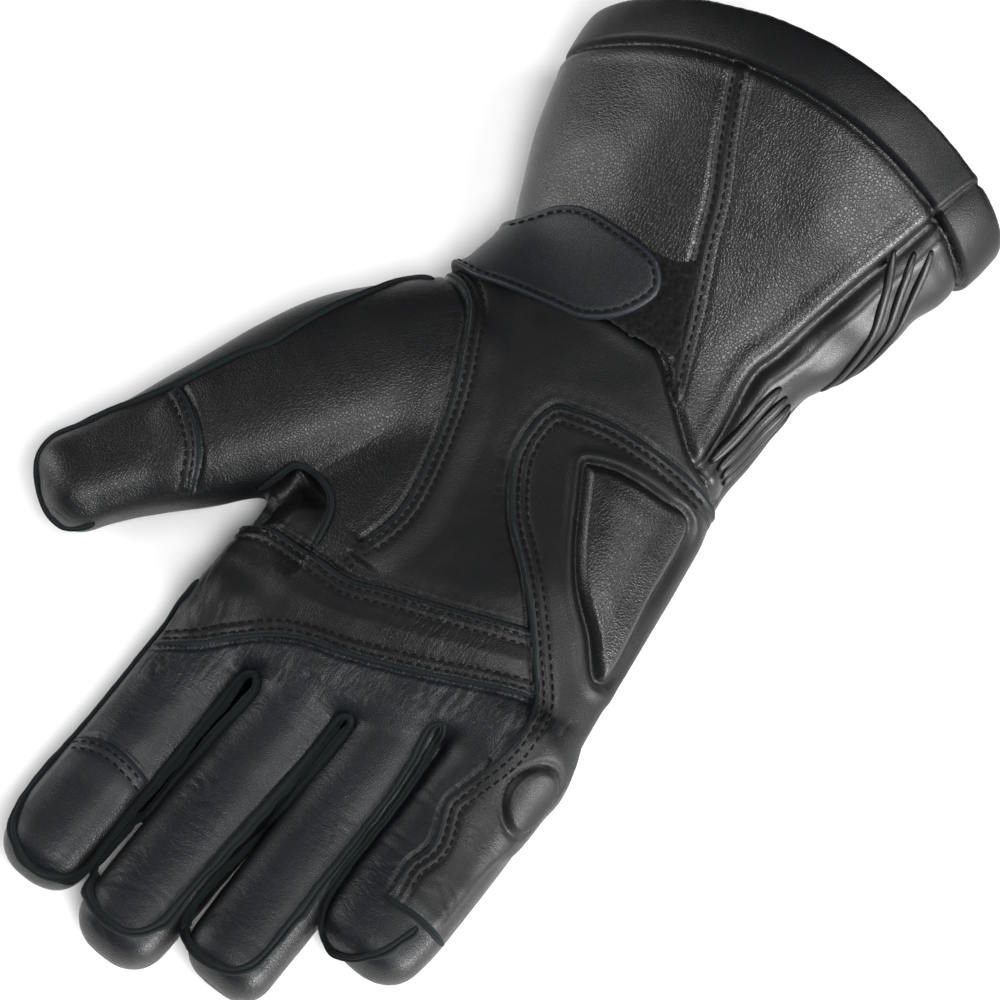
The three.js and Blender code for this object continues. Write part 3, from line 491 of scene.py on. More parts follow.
top = ON_PALM * step(UP, -0.1, 0.25)
thumb_mask = top * step(Z, THUMB_SEAM_Z + 4, THUMB_SEAM_Z + 7) * step(X, -98, -95)

side_outline = np.vstack([smooth_line(SIDE_EDGE), [[FAR, SIDE_EDGE[-1, 1]], [FAR, SIDE_EDGE[0, 1]]]])
in_side = inside(side_outline, X, Y)
side_run = step(Y, hand_y(-1.22), hand_y(-1.17))  # it ends across the little finger
s_side = lap("side_panel", SIDE_EDGE, 1.0, (2.2, 4.8), side=-1, mask=top * side_run)
height += 1.1 * ON_PALM * side_run * np.where(np.abs(s_side) < 90, step(s_side, -0.7, 0.5), in_side)

s_upper = lap("strip_upper", STRIP_UPPER, 0.8, (1.8, 4.4), side=1, mask=top * ~in_side)
s_lower = lap("strip_lower", STRIP_LOWER, 0.8, (1.8, 4.4), side=-1, mask=top * ~in_side)
strip_outline = np.vstack([smooth_line(STRIP_UPPER), smooth_line(STRIP_LOWER)[::-1]])
s_strip, _ = outline_distance(strip_outline, X, Y)
in_strip = (s_strip > 0) & ~in_side
height += 0.9 * top * ~in_side * step(s_strip, -0.6, 0.5)
height += 1.0 * top * np.where(in_strip, step(s_strip, 4.5, 13), 0)

palm_thumb_outline = np.vstack([
    smooth_line(THUMB_SEAM), smooth_line(THUMB_CROTCH), on_hand([(-0.52, -0.78)]), [[-FAR, -450.0]],
    [[-FAR, hand_y(0.02)]]])
back_thumb_outline = np.vstack([
    smooth_line(THUMB_BACK_SEAM), on_hand([(-0.52, -0.78)]), [[-FAR, -450.0]], [[-FAR, hand_y(0.02)]]])
in_thumb = inside(palm_thumb_outline, X, Y) & HAND_SIDE
in_thumb_back = inside(back_thumb_outline, X, Y) & HAND_SIDE
s_thumb = lap("thumb_seam", THUMB_SEAM, 1.0, (1.8, 4.4), side=-1, mask=top * (Y > hand_y(-0.62)))
height += 0.9 * top * (Y > hand_y(-0.66)) * np.where(np.abs(s_thumb) < 14, step(s_thumb, -0.6, 0.5) * step(s_thumb, 14, 5), 0)

s_index = lap("index_patch", INDEX_PATCH, 0.7, (1.5, 3.8), side=1, mask=top * (X < hand_x(-0.2)))
in_index_patch = (X < hand_x(-0.2)) & (Y < np.interp(X, INDEX_PATCH[:, 0], INDEX_PATCH[:, 1])) & (Z > SEAM_Z)
height += 0.6 * top * (X < hand_x(-0.2)) * np.where(np.abs(s_index) < 14, step(s_index, -0.5, 0.5) * step(s_index, 14, 6), 0)
s_tpatch = lap("thumb_patch", THUMB_PATCH, 0.7, (1.5, 3.8), side=1, mask=thumb_mask * (X < hand_x(-0.5)))
thumb_patch_outline = np.vstack([smooth_line(THUMB_PATCH), [[THUMB_PATCH[-1, 0], -FAR], [-FAR, -FAR], [-FAR, THUMB_PATCH[0, 1]]]])
in_thumb_patch = inside(thumb_patch_outline, X, Y) & (Z > THUMB_SEAM_Z) & (X < hand_x(-0.5))
height += 0.6 * thumb_mask * (X < hand_x(-0.5)) * np.where(
    np.abs(s_tpatch) < 14, step(s_tpatch, -0.5, 0.5) * step(s_tpatch, 14, 6), 0)

# The leather sinks under the edge that stands around the thumb's crotch
CROTCH_EDGE = [(-55.9, -43.4), (-54.3, -36.9), (-53, -30.9), (-50.3, -29.3), (-44.7, -29), (-38, -31.8), (-35, -35.8),
               (-33.3, -41.7), (-32.6, -47)]  # as seen on the plane 38 mm up
s_crotch, run_crotch = line_distance(smooth_line(CROTCH_EDGE) + (-0.7, 0.9), X, Y)
crotch_depth = 2.2 + 3.6 * bell(run_crotch - 18, 13)
height -= crotch_depth * (Z > THUMB_SEAM_Z) * (np.abs(s_crotch) < 90) * step(s_crotch, -0.2, 2.2) * step(s_crotch, 13, 3)

# Pads
s_heel, run_heel = outline_distance(resample(smooth_line(np.vstack([HEEL_PAD, HEEL_PAD[:1]])), 2.0)[:-1], X, Y)
pad_top = ON_PALM * step(UP, -0.2, 0.2)
height += pad_top * (2.4 * step(s_heel, -0.4, 2.2) + 0.8 * step(s_heel, 2, 9) - 1.3 * bell(s_heel + 1.0, 0.9)
                     + 0.6 * bell(s_heel + 3.4, 1.8))
oval_middle = sight_vertex(KNUCKLE_PAD_SEEN)
away = points - points[oval_middle]
oval_up = normals[oval_middle]
oval_long = np.array([math.sin(KNUCKLE_PAD_TURN), -math.cos(KNUCKLE_PAD_TURN), 0])
oval_long -= (oval_long @ oval_up) * oval_up
oval_long /= np.linalg.norm(oval_long)
oval_side = np.cross(oval_up, oval_long)
oval = np.hypot(away @ oval_side / KNUCKLE_PAD_HALF[0], away @ oval_long / KNUCKLE_PAD_HALF[1])
oval = np.where(np.abs(away @ oval_up) < 9, oval, 9)
s_oval = (1 - oval) * 8.0
near_oval = step(s_oval, -9, -5)
oval_shape = 1.1 * step(s_oval, -0.3, 1.6) - 0.8 * bell(s_oval + 0.7, 0.8)

# Seams that lie in a valley
def valley(points_in, depth, width, mask=1.0, puff=0.3):
    global height
    curve = resample(smooth_line(points_in), 2.0)
    s, run = line_distance(curve, X, Y, 24.0)
    near = np.abs(s) < 90
    height = height + mask * near * (puff * bell(np.abs(s) - 2.6 * width, 1.5 * width) - depth * bell(s, width))
    return s


cuff_top = step(Z - CUFF_BACK_Z, 0, 4) * ~IN_HEM
s_wrist = valley(WRIST_SEAM, 1.6, 1.3, cuff_top * step(X, -45, -10))
s_gusset = valley(GUSSET_SEAM, 3.8, 1.8, cuff_top * ~HAND_SIDE, 1.1)
height -= cuff_top * ~HAND_SIDE * np.where(np.abs(s_gusset) < 24, 2.2 * step(-s_gusset, -0.5, 3) * step(-s_gusset, 22, 6), 0)
s_front = valley(FRONT_SEAM, 0.0, 1.0, cuff_top * ~HAND_SIDE, 0.0)
front_mask = cuff_top * ~HAND_SIDE * (np.abs(s_front) < 90)
height += front_mask * (0.9 * step(np.abs(s_front), 2.9, 2.1) - 0.6 * bell(np.abs(s_front) - 3.2, 0.8)
                        - 0.3 * bell(np.abs(s_front) - 1.5, 0.5))
height -= ~LINED * (1.1 * bell(PAST_HEM, 1.0) - 0.4 * bell(PAST_HEM + 3.2, 2.2))
height += ~LINED * IN_HEM * 0.35 * np.sin(math.pi * np.clip(PAST_HEM / HEM_WIDTH, 0, 1))
s_cross, _ = line_distance(np.array([(54.0, 136.0), (57.0, 148.0), (62.0, 162.0)]), X, Y)
height -= ~LINED * IN_HEM * (Z > 45) * (0.9 * bell(s_cross, 0.8) - 0.45 * bell(s_cross + 2, 1.6))
height -= ~LINED * 0.7 * bell(Z - CUFF_BACK_Z, 1.0) * ~HAND_SIDE * ~IN_HEM
side_seam = 0.6 * bell(Z - SEAM_Z, 1.0) * HAND_SIDE * ~in_thumb * (Y > hand_y(-0.9))
height -= side_seam * ~LINED

# Folds and creases of the leather
P = points
palm_side = ON_PALM * ~IN_HEM
slow = noise(P, 26, 1) * 0.8 + noise(P, 12, 2) * 0.4 + noise(P, 6, 3) * 0.14
height += slow * 0.55 * ~LINED * np.clip(Z / 8, 0, 1)
finger_zone = step(Y, hand_y(-0.8), hand_y(-1.0)) * palm_side
along_finger = np.stack([X * 0.22, Y + noise(P, 7, 5) * 2.2, Z * 0.3], 1)
creases = np.abs(noise(along_finger, 2.6, 6))
height += finger_zone * (0.05 - 0.2 * step(creases, 0.22, 0.0)) * step(noise(P, 16, 7), 0.0, 0.6)
strip_wrinkle = np.stack([(X + Y * 0.35) + noise(P, 6, 8) * 2.0, Y * 0.16, Z * 0.2], 1)
strip_creases = np.abs(noise(strip_wrinkle, 2.9, 9))
height += np.where(in_strip, top * 0.8 * noise(np.stack([X + Y * 0.35, Y * 0.3, Z * 0.3], 1), 11, 18), 0)
height += np.where(in_strip, 0.45 * top * (0.1 - 0.6 * step(strip_creases, 0.25, 0.0)) * step(noise(P, 14, 10), -0.2, 0.5), 0)
base_wrinkle = np.stack([X + noise(P, 5, 11) * 1.5, Y * 0.25, Z * 0.2], 1)
near_base = bell(s_strip + 7, 7.0) * (s_strip < 0) * (Y < np.interp(X, STRIP_LOWER[:, 0], STRIP_LOWER[:, 1]))
height -= 0.4 * top * near_base * step(np.abs(noise(base_wrinkle, 3.2, 12)), 0.25, 0.0)
gusset_zone = cuff_top * ~HAND_SIDE * np.where(np.abs(s_gusset) < 90, step(-s_gusset, 0, 4), X > GUSSET_SEAM[:, 0].max())
fold_run = np.stack([X * 0.4 + Y * 0.5, (Y - X * 0.4), Z * 0.8], 1)
height += gusset_zone * 2.0 * (0.2 + 0.8 * step(Y, 74, 90)) * noise(fold_run, 12, 13) * step(Y, 150, 120)
cuff_zone = cuff_top * ~HAND_SIDE
height += cuff_zone * (0.9 * noise(np.stack([X * 0.8, Y * 0.45, Z * 0.6], 1), 16, 14)) * step(Y, 145, 125)

MASKS = {
    "wear_and_highlight": wear_and_highlight,
    "cross": finger_zone * (0.15 + 0.85 * step(noise(P, 13, 16), -0.2, 0.6)),
    "gather": top * np.clip(np.where(in_strip, 0.8 * step(noise(P, 15, 17), -0.3, 0.4), 0)
                            + 1.1 * bell(s_strip + 5, 8.0) * (s_strip < 0) * (Y < -45), 0, 1),
}
height = height * (1 - near_oval) + near_oval * (1.3 + oval_shape)
height = np.where(LINED, -height, height)  # the lining follows the outer side
moved = points + normals * height[:, None]
moved[:, 2] = np.maximum(moved[:, 2], 0.02)
shown_normals = vertex_normals(moved, quads)

# Panels
centre = points[quads].mean(1)
CX, CY, CZ = centre.T
lined = LINED[quads].sum(1) >= 2
hem = (CY - rim_y(CX) + HEM_WIDTH) > 0
cuff_side = line_distance(smooth_line(WRIST_SEAM), CX, CY, FAR)[0] < 0
seam_z = SEAM_Z[quads].mean(1)
labels = np.full(len(quads), "back_leather", dtype="U24")
palm = (CZ > seam_z) & ~cuff_side
labels[palm] = "palm_leather"


def strip_zone(left, right):
    (_, crotch_a, root_a, tip_a, *_), (_, crotch_b, root_b, tip_b, *_) = FINGERS[left], FINGERS[right]
    xl, xr = hand_x((root_a + tip_a) / 2), hand_x((root_b + tip_b) / 2)
    end = np.where(CX < (xl + xr) / 2, finger_tip_y(left), finger_tip_y(right)) + 0.8 * TIP_ROUND
    top_y = max(hand_y(crotch_a), hand_y(crotch_b)) + 2 * WALL
    return (CX > xl) & (CX < xr) & (CY > end) & (CY < top_y) & (CZ > BACK_SEAM_Z) & (CZ <= seam_z)


names = list(FINGERS)
for a, b in zip(names[:-1], names[1:]):
    labels[strip_zone(a, b)] = f"side_strip_{a}_{b}"
strip_in = inside(strip_outline, CX, CY)
side_in = inside(side_outline, CX, CY)
labels[palm & strip_in] = "knuckle_strip"
labels[palm & side_in] = "side_panel"
labels[palm & inside(HEEL_PAD, CX, CY)] = "heel_pad"
labels[palm & (oval[quads].mean(1) < 1) & (CY < -40)] = "knuckle_pad"
labels[in_index_patch[quads].sum(1) >= 2] = "index_tip_patch"
thumb_face = inside(palm_thumb_outline, CX, CY) & ~cuff_side
thumb_back_face = inside(back_thumb_outline, CX, CY) & ~cuff_side
labels[thumb_face & (CZ > THUMB_SEAM_Z)] = "thumb_palm"
labels[thumb_back_face & (CZ <= THUMB_SEAM_Z)] = "thumb_back"
labels[(in_thumb_patch[quads].sum(1) >= 2) & thumb_face & (CZ > THUMB_SEAM_Z)] = "thumb_tip_patch"
gusset_line, front_line = smooth_line(GUSSET_SEAM)[::-1], smooth_line(FRONT_SEAM)[::-1]
gusset_x = np.interp(CY, gusset_line[:, 1], gusset_line[:, 0])
front_x = np.interp(CY, front_line[:, 1], front_line[:, 0])
labels[cuff_side] = "cuff_front_thumb"
labels[cuff_side & (CX > front_x)] = "cuff_front_little"
labels[cuff_side & (CX > gusset_x)] = "cuff_gusset"
labels[cuff_side & (CZ < CUFF_BACK_Z)] = "cuff_back"
labels[cuff_side & (np.abs(s_front[quads].mean(1)) < 2.6) & (CZ > CUFF_BACK_Z) & (CY < 140)] = "cuff_seam_strip"
labels[lined] = "cuff_lining"
labels[hem] = "hem_band"


# Materials
def leather(name, base, rough, cell, grain=0.35, spread=0.35, gloss_level=0.34):
    """Black leather: a net of fine creases of this size, darkened with painted shade, pores, uneven dye, and paler edge
    rims that are partly rubbed wear and partly a painted highlight.
    """
    m = bpy.data.materials.new(name)
    m.use_nodes = True
    t = m.node_tree
    nodes, links = t.nodes, t.links
    nodes.clear()
    out = nodes.new("ShaderNodeOutputMaterial")
    shader = nodes.new("ShaderNodeBsdfPrincipled")
    links.new(shader.outputs[0], out.inputs[0])
    place = nodes.new("ShaderNodeTexCoord")
    warp = nodes.new("ShaderNodeTexNoise")
    warp.inputs["Scale"].default_value = 1000 / (cell * 3)
    warp.inputs["Detail"].default_value = 1
    links.new(place.outputs["Object"], warp.inputs["Vector"])
    shift = nodes.new("ShaderNodeVectorMath")
    shift.operation = "MULTIPLY_ADD"
    shift.inputs[1].default_value = (cell * MM * 0.9,) * 3
    links.new(warp.outputs["Color"], shift.inputs[0])
    links.new(place.outputs["Object"], shift.inputs[2])

    net = nodes.new("ShaderNodeTexVoronoi")
    net.feature = "DISTANCE_TO_EDGE"
    net.inputs["Scale"].default_value = 1000 / cell
    links.new(shift.outputs[0], net.inputs["Vector"])
    groove = nodes.new("ShaderNodeMapRange")
    groove.interpolation_type = "SMOOTHSTEP"
    groove.inputs["From Max"].default_value = spread
    links.new(net.outputs["Distance"], groove.inputs["Value"])

    fine = nodes.new("ShaderNodeTexNoise")
    fine.inputs["Scale"].default_value = 1000 / (cell * 0.45)
    fine.inputs["Detail"].default_value = 1
    links.new(place.outputs["Object"], fine.inputs["Vector"])
    broad = nodes.new("ShaderNodeTexNoise")
    broad.inputs["Scale"].default_value = 1000 / 22
    broad.inputs["Detail"].default_value = 3
    links.new(place.outputs["Object"], broad.inputs["Vector"])

    relief = nodes.new("ShaderNodeMath")
    relief.operation = "MULTIPLY_ADD"
    relief.inputs[1].default_value = 0.15
    links.new(fine.outputs["Fac"], relief.inputs[0])
    links.new(groove.outputs[0], relief.inputs[2])
    bump = nodes.new("ShaderNodeBump")
    bump.inputs["Strength"].default_value = grain
    bump.inputs["Distance"].default_value = cell * MM * 0.16
    links.new(relief.outputs[0], bump.inputs["Height"])
    last = bump
    for mask, scale, depth in (("cross", (260, 620, 320), 0.10), ("gather", (680, 200, 280), 0.13)):
        stretch = nodes.new("ShaderNodeMapping")
        stretch.inputs["Scale"].default_value = scale
        links.new(shift.outputs[0], stretch.inputs["Vector"])
        lines = nodes.new("ShaderNodeTexNoise")
        lines.inputs["Scale"].default_value = 1.0
        lines.inputs["Detail"].default_value = 2
        lines.inputs["Distortion"].default_value = 0.7
        links.new(stretch.outputs[0], lines.inputs["Vector"])
        ridge = nodes.new("ShaderNodeMapRange")
        ridge.inputs["From Min"].default_value = 0.32
        ridge.inputs["From Max"].default_value = 0.62
        links.new(lines.outputs["Fac"], ridge.inputs["Value"])
        where = nodes.new("ShaderNodeAttribute")
        where.attribute_name = mask
        part = nodes.new("ShaderNodeMath")
        part.operation = "MULTIPLY"
        links.new(ridge.outputs[0], part.inputs[0])
        links.new(where.outputs["Fac"], part.inputs[1])
        fold = nodes.new("ShaderNodeBump")
        fold.inputs["Strength"].default_value = 0.9
        fold.inputs["Distance"].default_value = depth * MM
        links.new(part.outputs[0], fold.inputs["Height"])
        links.new(last.outputs[0], fold.inputs["Normal"])
        last = fold
    links.new(last.outputs[0], shader.inputs["Normal"])

    dye = nodes.new("ShaderNodeMixRGB")
    dye.inputs[1].default_value = (*[c * 0.72 for c in base], 1)
    dye.inputs[2].default_value = (*[c * 1.3 for c in base], 1)
    links.new(broad.outputs["Fac"], dye.inputs[0])
    # Painted shade: the colour is darkened in the creases of the grain net, where shade would fall
    crease_shade = nodes.new("ShaderNodeMixRGB")
    crease_shade.blend_type = "MULTIPLY"
    crease_shade.inputs[2].default_value = (0.35, 0.35, 0.35, 1)
    flip = nodes.new("ShaderNodeMath")
    flip.operation = "SUBTRACT"
    flip.inputs[0].default_value = 1.0
    links.new(groove.outputs[0], flip.inputs[1])
    links.new(flip.outputs[0], crease_shade.inputs[0])
    links.new(dye.outputs[0], crease_shade.inputs[1])
    # Paler rims along seams and the strap's edge: rubbed wear, and a painted highlight on the raised edge
    rim_wear_and_highlight = nodes.new("ShaderNodeAttribute")
    rim_wear_and_highlight.attribute_name = "wear_and_highlight"
    patchy = nodes.new("ShaderNodeMath")
    patchy.operation = "MULTIPLY"
    links.new(rim_wear_and_highlight.outputs["Fac"], patchy.inputs[0])
    links.new(fine.outputs["Fac"], patchy.inputs[1])
    pale = nodes.new("ShaderNodeMixRGB")
    pale.inputs[2].default_value = (*[c * 2.4 for c in base], 1)
    links.new(patchy.outputs[0], pale.inputs[0])
    links.new(crease_shade.outputs[0], pale.inputs[1])
    links.new(pale.outputs[0], shader.inputs["Base Color"])

    gloss = nodes.new("ShaderNodeMapRange")
    gloss.inputs["To Min"].default_value = rough + 0.1
    gloss.inputs["To Max"].default_value = rough - 0.06
    links.new(broad.outputs["Fac"], gloss.inputs["Value"])
    dull = nodes.new("ShaderNodeMath")  # the creases shine less
    dull.operation = "MULTIPLY_ADD"
    dull.inputs[1].default_value = 0.1
    links.new(flip.outputs[0], dull.inputs[0])
    links.new(gloss.outputs[0], dull.inputs[2])
    links.new(dull.outputs[0], shader.inputs["Roughness"])
    shader.inputs["Specular IOR Level"].default_value = gloss_level
    return m


def cloth(name, base, size, depth, rough=0.95, sheen=0.4):
    """Fuzzy or woven fabric, or a cut edge: matt, with fibres of this size."""
    m = bpy.data.materials.new(name)
    m.use_nodes = True
    t = m.node_tree
    nodes, links = t.nodes, t.links
    shader = nodes["Principled BSDF"]
    shader.inputs["Roughness"].default_value = rough
    shader.inputs["Specular IOR Level"].default_value = 0.12
    shader.inputs["Sheen Weight"].default_value = sheen
    shader.inputs["Sheen Roughness"].default_value = 0.6
    place = nodes.new("ShaderNodeTexCoord")
    fibre = nodes.new("ShaderNodeTexNoise")
    fibre.inputs["Scale"].default_value = 1000 / size
    fibre.inputs["Detail"].default_value = 3
    fibre.inputs["Roughness"].default_value = 0.7
    links.new(place.outputs["Object"], fibre.inputs["Vector"])
    shade = nodes.new("ShaderNodeMixRGB")
    shade.inputs[1].default_value = (*[c * 0.4 for c in base], 1)
    shade.inputs[2].default_value = (*[c * 1.8 for c in base], 1)
    links.new(fibre.outputs["Fac"], shade.inputs[0])
    links.new(shade.outputs[0], shader.inputs["Base Color"])
    bump = nodes.new("ShaderNodeBump")
    bump.inputs["Strength"].default_value = depth
    bump.inputs["Distance"].default_value = size * MM * 0.5
    links.new(fibre.outputs["Fac"], bump.inputs["Height"])
    links.new(bump.outputs[0], shader.inputs["Normal"])
    return m


BLACK = (0.0044, 0.0048, 0.0056)
BLUISH = (0.0062, 0.0084, 0.0118)
SMOOTH = leather("smooth_leather", BLACK, 0.37, 0.7, grain=0.27, spread=0.28, gloss_level=0.25)
FINGER = leather("finger_leather", BLUISH, 0.37, 0.7, grain=0.3, spread=0.28, gloss_level=0.27)
GRAIN = leather("grain_leather", BLACK, 0.31, 1.0, grain=0.34, spread=0.26, gloss_level=0.45)
THUMB = leather("thumb_leather", BLACK, 0.34, 0.95, grain=0.34, spread=0.26, gloss_level=0.31)
HEM = leather("hem_leather", BLACK, 0.34, 0.75, grain=0.24, spread=0.28, gloss_level=0.22)
GUSSET = leather("gusset_leather", BLACK, 0.3, 0.7, grain=0.2, spread=0.28, gloss_level=0.36)
BACK = leather("back_leather", BLACK, 0.36, 0.95, grain=0.3, spread=0.26, gloss_level=0.4)
RAW = cloth("raw_edge", (0.0030, 0.0055, 0.0062), 0.5, 0.5, 0.75, 0.03)
THREAD = cloth("thread", (0.0025, 0.0026, 0.003), 0.25, 0.6, 0.8, 0.0)
LOOPS = cloth("loop_fabric", (0.0032, 0.0032, 0.0036), 0.6, 1.0, 1.0, 0.05)
LINING = cloth("lining", (0.008, 0.008, 0.009), 0.7, 0.4, 0.95, 0.2)

LOOKS = {
    "palm_leather": (SMOOTH, "smooth_leather"), "back_leather": (BACK, "grain_leather"),
    "thumb_palm": (THUMB, "grain_leather"), "thumb_back": (BACK, "grain_leather"),
    "side_strip_index_middle": (BACK, "grain_leather"), "side_strip_middle_ring": (BACK, "grain_leather"),
    "side_strip_ring_little": (BACK, "grain_leather"), "side_panel": (SMOOTH, "smooth_leather"),
    "knuckle_strip": (SMOOTH, "smooth_leather"), "index_tip_patch": (FINGER, "smooth_leather"),
    "thumb_tip_patch": (THUMB, "smooth_leather"), "heel_pad": (GRAIN, "smooth_leather"),
    "knuckle_pad": (SMOOTH, "smooth_leather"), "cuff_front_thumb": (GRAIN, "grain_leather"),
    "cuff_front_little": (GRAIN, "grain_leather"), "cuff_gusset": (GUSSET, "grain_leather"),
    "cuff_back": (GRAIN, "grain_leather"), "cuff_seam_strip": (HEM, "grain_leather"),
    "cuff_lining": (LINING, "loop_fabric"), "hem_band": (HEM, "smooth_leather"),
}


def add_mesh(name, points_mm, faces, material, normals_in=None, masks=None, replaces=()):
    """A mesh piece from points in the drawing's millimetres. Faces are an array of quads or a list of tuples."""
    mesh = bpy.data.meshes.new(name)
    co = ((points_mm + ORIGIN) * MM).astype(np.float32)
    faces = [np.asarray(f) for f in faces] if not isinstance(faces, np.ndarray) else faces
    sizes = np.full(len(faces), faces.shape[1]) if isinstance(faces, np.ndarray) else np.array([len(f) for f in faces])
    flat = faces.ravel() if isinstance(faces, np.ndarray) else np.concatenate(faces)
    mesh.vertices.add(len(co))
    mesh.vertices.foreach_set("co", co.ravel())
    mesh.loops.add(len(flat))
    mesh.loops.foreach_set("vertex_index", flat.astype(np.int32))
    mesh.polygons.add(len(sizes))
    mesh.polygons.foreach_set("loop_start", np.r_[0, np.cumsum(sizes)[:-1]].astype(np.int32))
    mesh.update(calc_edges=True)
    mesh.polygons.foreach_set("use_smooth", np.ones(len(sizes), bool))
    if normals_in is not None:
        mesh.normals_split_custom_set_from_vertices(normals_in.astype(np.float32))
    for mask, values in (masks or {}).items():
        layer = mesh.attributes.new(mask, "FLOAT", "POINT")
        layer.data.foreach_set("value", values.astype(np.float32))
    mesh.materials.append(material)
    o = bpy.data.objects.new(name, mesh)
    bpy.context.scene.collection.objects.link(o)
    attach(o, "root")
    if replaces:
        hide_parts(*replaces)
    return o


def panel(name):
    mine = quads[labels == name]
    if not len(mine):
        return None
    used, index = np.unique(mine, return_inverse=True)
    material, slot = LOOKS[name]
    stands_for = () if name == "cuff_lining" else (name,)
    return add_mesh(name + ("" if not stands_for else "_panel"), moved[used], index.reshape(mine.shape), material,
                    shown_normals[used], {k: v[used] for k, v in MASKS.items()}, stands_for)


made = {name: panel(name) for name in LOOKS}
# The fingers' palm side is bluish and finely creased, so its faces take their own leather
palm_object = made["palm_leather"]
palm_object.data.materials.append(FINGER)
centres = np.empty(len(palm_object.data.polygons) * 3, np.float32)
palm_object.data.polygons.foreach_get("center", centres)
at = centres.reshape(-1, 3) / MM - ORIGIN
lower = np.interp(at[:, 0], STRIP_LOWER[:, 0], STRIP_LOWER[:, 1])
palm_object.data.polygons.foreach_set("material_index", (at[:, 1] < lower).astype(np.int32))

# Finding places on the finished skin
outside = ~lined
tree = BVHTree.FromPolygons([tuple(p) for p in moved], [tuple(q) for q in quads[outside]])


def drop(xy, direction=(0, 0, -1), height_from=120.0):
    """Points and normals of the skin below plan points, and which were found."""
    spots, ups, found = [], [], []
    for x, y in xy:
        hit, normal, _, _ = tree.ray_cast(Vector((x, y, height_from)), Vector(direction))
        found.append(hit is not None)
        spots.append(hit if hit else (x, y, 0))
        ups.append(normal if hit else (0, 0, 1))
    return np.array(spots), np.array(ups), np.array(found)


SEAM_FLOOR = 13.0  # no seam that the camera sees lies lower


def seen(xy, plane):
    """Points and normals of the skin on the sight lines through points of a level plane.

    A line that just misses the glove gives the nearest edge of its outline.
    """
    spots, missed = [], []
    for x, y in xy:
        ray = np.array([x, y, plane]) - EYE
        ray /= np.linalg.norm(ray)
        way = EYE + np.arange(1180, 1400, 0.25)[:, None] * ray
        way = way[way[:, 2] > SEAM_FLOOR]
        d = hull_field(*way.T)
        spots.append(way[np.argmax(d < 0) if (d < 0).any() else np.argmin(d)])
        missed.append(not (d < 0).any())
    on, ups = nearest(spots)
    close = (np.linalg.norm(on - spots, axis=1) < 2.5) | missed
    return np.where(close[:, None], on, spots), ups


def nearest(spots):
    found, ups = [], []
    for p in spots:
        hit, normal, _, _ = tree.find_nearest(Vector(p))
        found.append(hit)
        ups.append(normal)
    return np.array(found), np.array(ups)


def evened(values, rounds=2):
    v = np.array(values, float)
    for _ in range(rounds):
        v[1:-1] = (v[:-2] + 2 * v[1:-1] + v[2:]) / 4
    return v


def sweep(path, ups, profile, taper=2, spread=None):
    """A closed profile of (aside, up) points run along a path, with ends that narrow to a close.

    The spread widens the profile's right half, at each point of the path.
    """
    t = np.gradient(path, axis=0)
    t /= np.maximum(np.linalg.norm(t, axis=1), 1e-9)[:, None]
    ups = ups - (ups * t).sum(1)[:, None] * t
    ups /= np.maximum(np.linalg.norm(ups, axis=1), 1e-9)[:, None]
    aside = np.cross(t, ups)
    profile = np.asarray(profile, float)
    size = np.ones(len(path))
    for k in range(taper):
        size[k] = min(size[k], math.sqrt(1 - (1 - (k + 0.3) / taper) ** 2))
        size[-1 - k] = min(size[-1 - k], size[k])
    across = np.repeat(profile[None, :, 0], len(path), axis=0)
    if spread is not None:
        across = np.where(across > 0, across * spread[:, None], across)
    ring = path[:, None] + size[:, None, None] * (
        aside[:, None] * across[:, :, None] + ups[:, None] * profile[None, :, 1:])
    n, m = ring.shape[:2]
    i, j = np.meshgrid(np.arange(n - 1), np.arange(m), indexing="ij")
    a, b = i * m + j, i * m + (j + 1) % m
    faces = [tuple(f) for f in np.stack([a, b, b + m, a + m], -1).reshape(-1, 4)]
    faces.append(tuple(range(m))[::-1])
    faces.append(tuple((n - 1) * m + k for k in range(m)))
    return ring.reshape(-1, 3), faces


def joined(pieces):
    points_all, faces_all, start = [], [], 0
    for p, f in pieces:
        points_all.append(p)
        faces_all += [tuple(v + start for v in face) for face in f]
        start += len(p)
    return np.vstack(points_all), faces_all


def pieces_of(found, least_run=3):
    """Runs of the indices where found is true."""
    runs, run = [], []
    for k, ok in enumerate(found):
        if ok:
            run.append(k)
        elif run:
            runs.append(run)
            run = []
    if run:
        runs.append(run)
    return [r for r in runs if len(r) >= least_run]


def stitch(a, b, up, radius=0.36, sides=6):
    """One stitch from a to b: a short thread that dips at both ends."""
    share = np.array([0, 0.12, 0.3, 0.5, 0.7, 0.88, 1])
    lift = np.array([-0.35, 0.0, 0.16, 0.2, 0.16, 0.0, -0.35])
    thick = np.array([0.5, 0.9, 1, 1, 1, 0.9, 0.5]) * radius
    along = (b - a) / np.linalg.norm(b - a)
    up = up - (up @ along) * along
    up /= np.linalg.norm(up)
    aside = np.cross(along, up)
    angle = np.arange(sides) * 2 * math.pi / sides
    ring = (a + share[:, None] * (b - a) + lift[:, None] * up)[:, None] + thick[:, None, None] * (
        np.cos(angle)[None, :, None] * aside + np.sin(angle)[None, :, None] * up)
    n = len(share)
    faces = [(i * sides + j, i * sides + (j + 1) % sides, (i + 1) * sides + (j + 1) % sides, (i + 1) * sides + j)
             for i in range(n - 1) for j in range(sides)]
    faces += [tuple(range(sides))[::-1], tuple((n - 1) * sides + k for k in range(sides))]
    return ring.reshape(-1, 3), faces


def stitch_row(spots, ups, found, pitch=3.0, fill=0.74):
    """Stitches along points that lie one stitch apart."""
    out = []
    for k in range(len(spots) - 1):
        if not (found[k] and found[k + 1]):
            continue
        a, b = spots[k], spots[k + 1]
        if np.linalg.norm(b - a) > pitch * 1.8:
            continue
        up = ups[k] + ups[k + 1]
        if up[2] < 0.02:
            continue
        up = up / np.linalg.norm(up)
        gap = (1 - fill) / 2
        out.append(stitch(a + gap * (b - a), b - gap * (b - a), up))
    return out


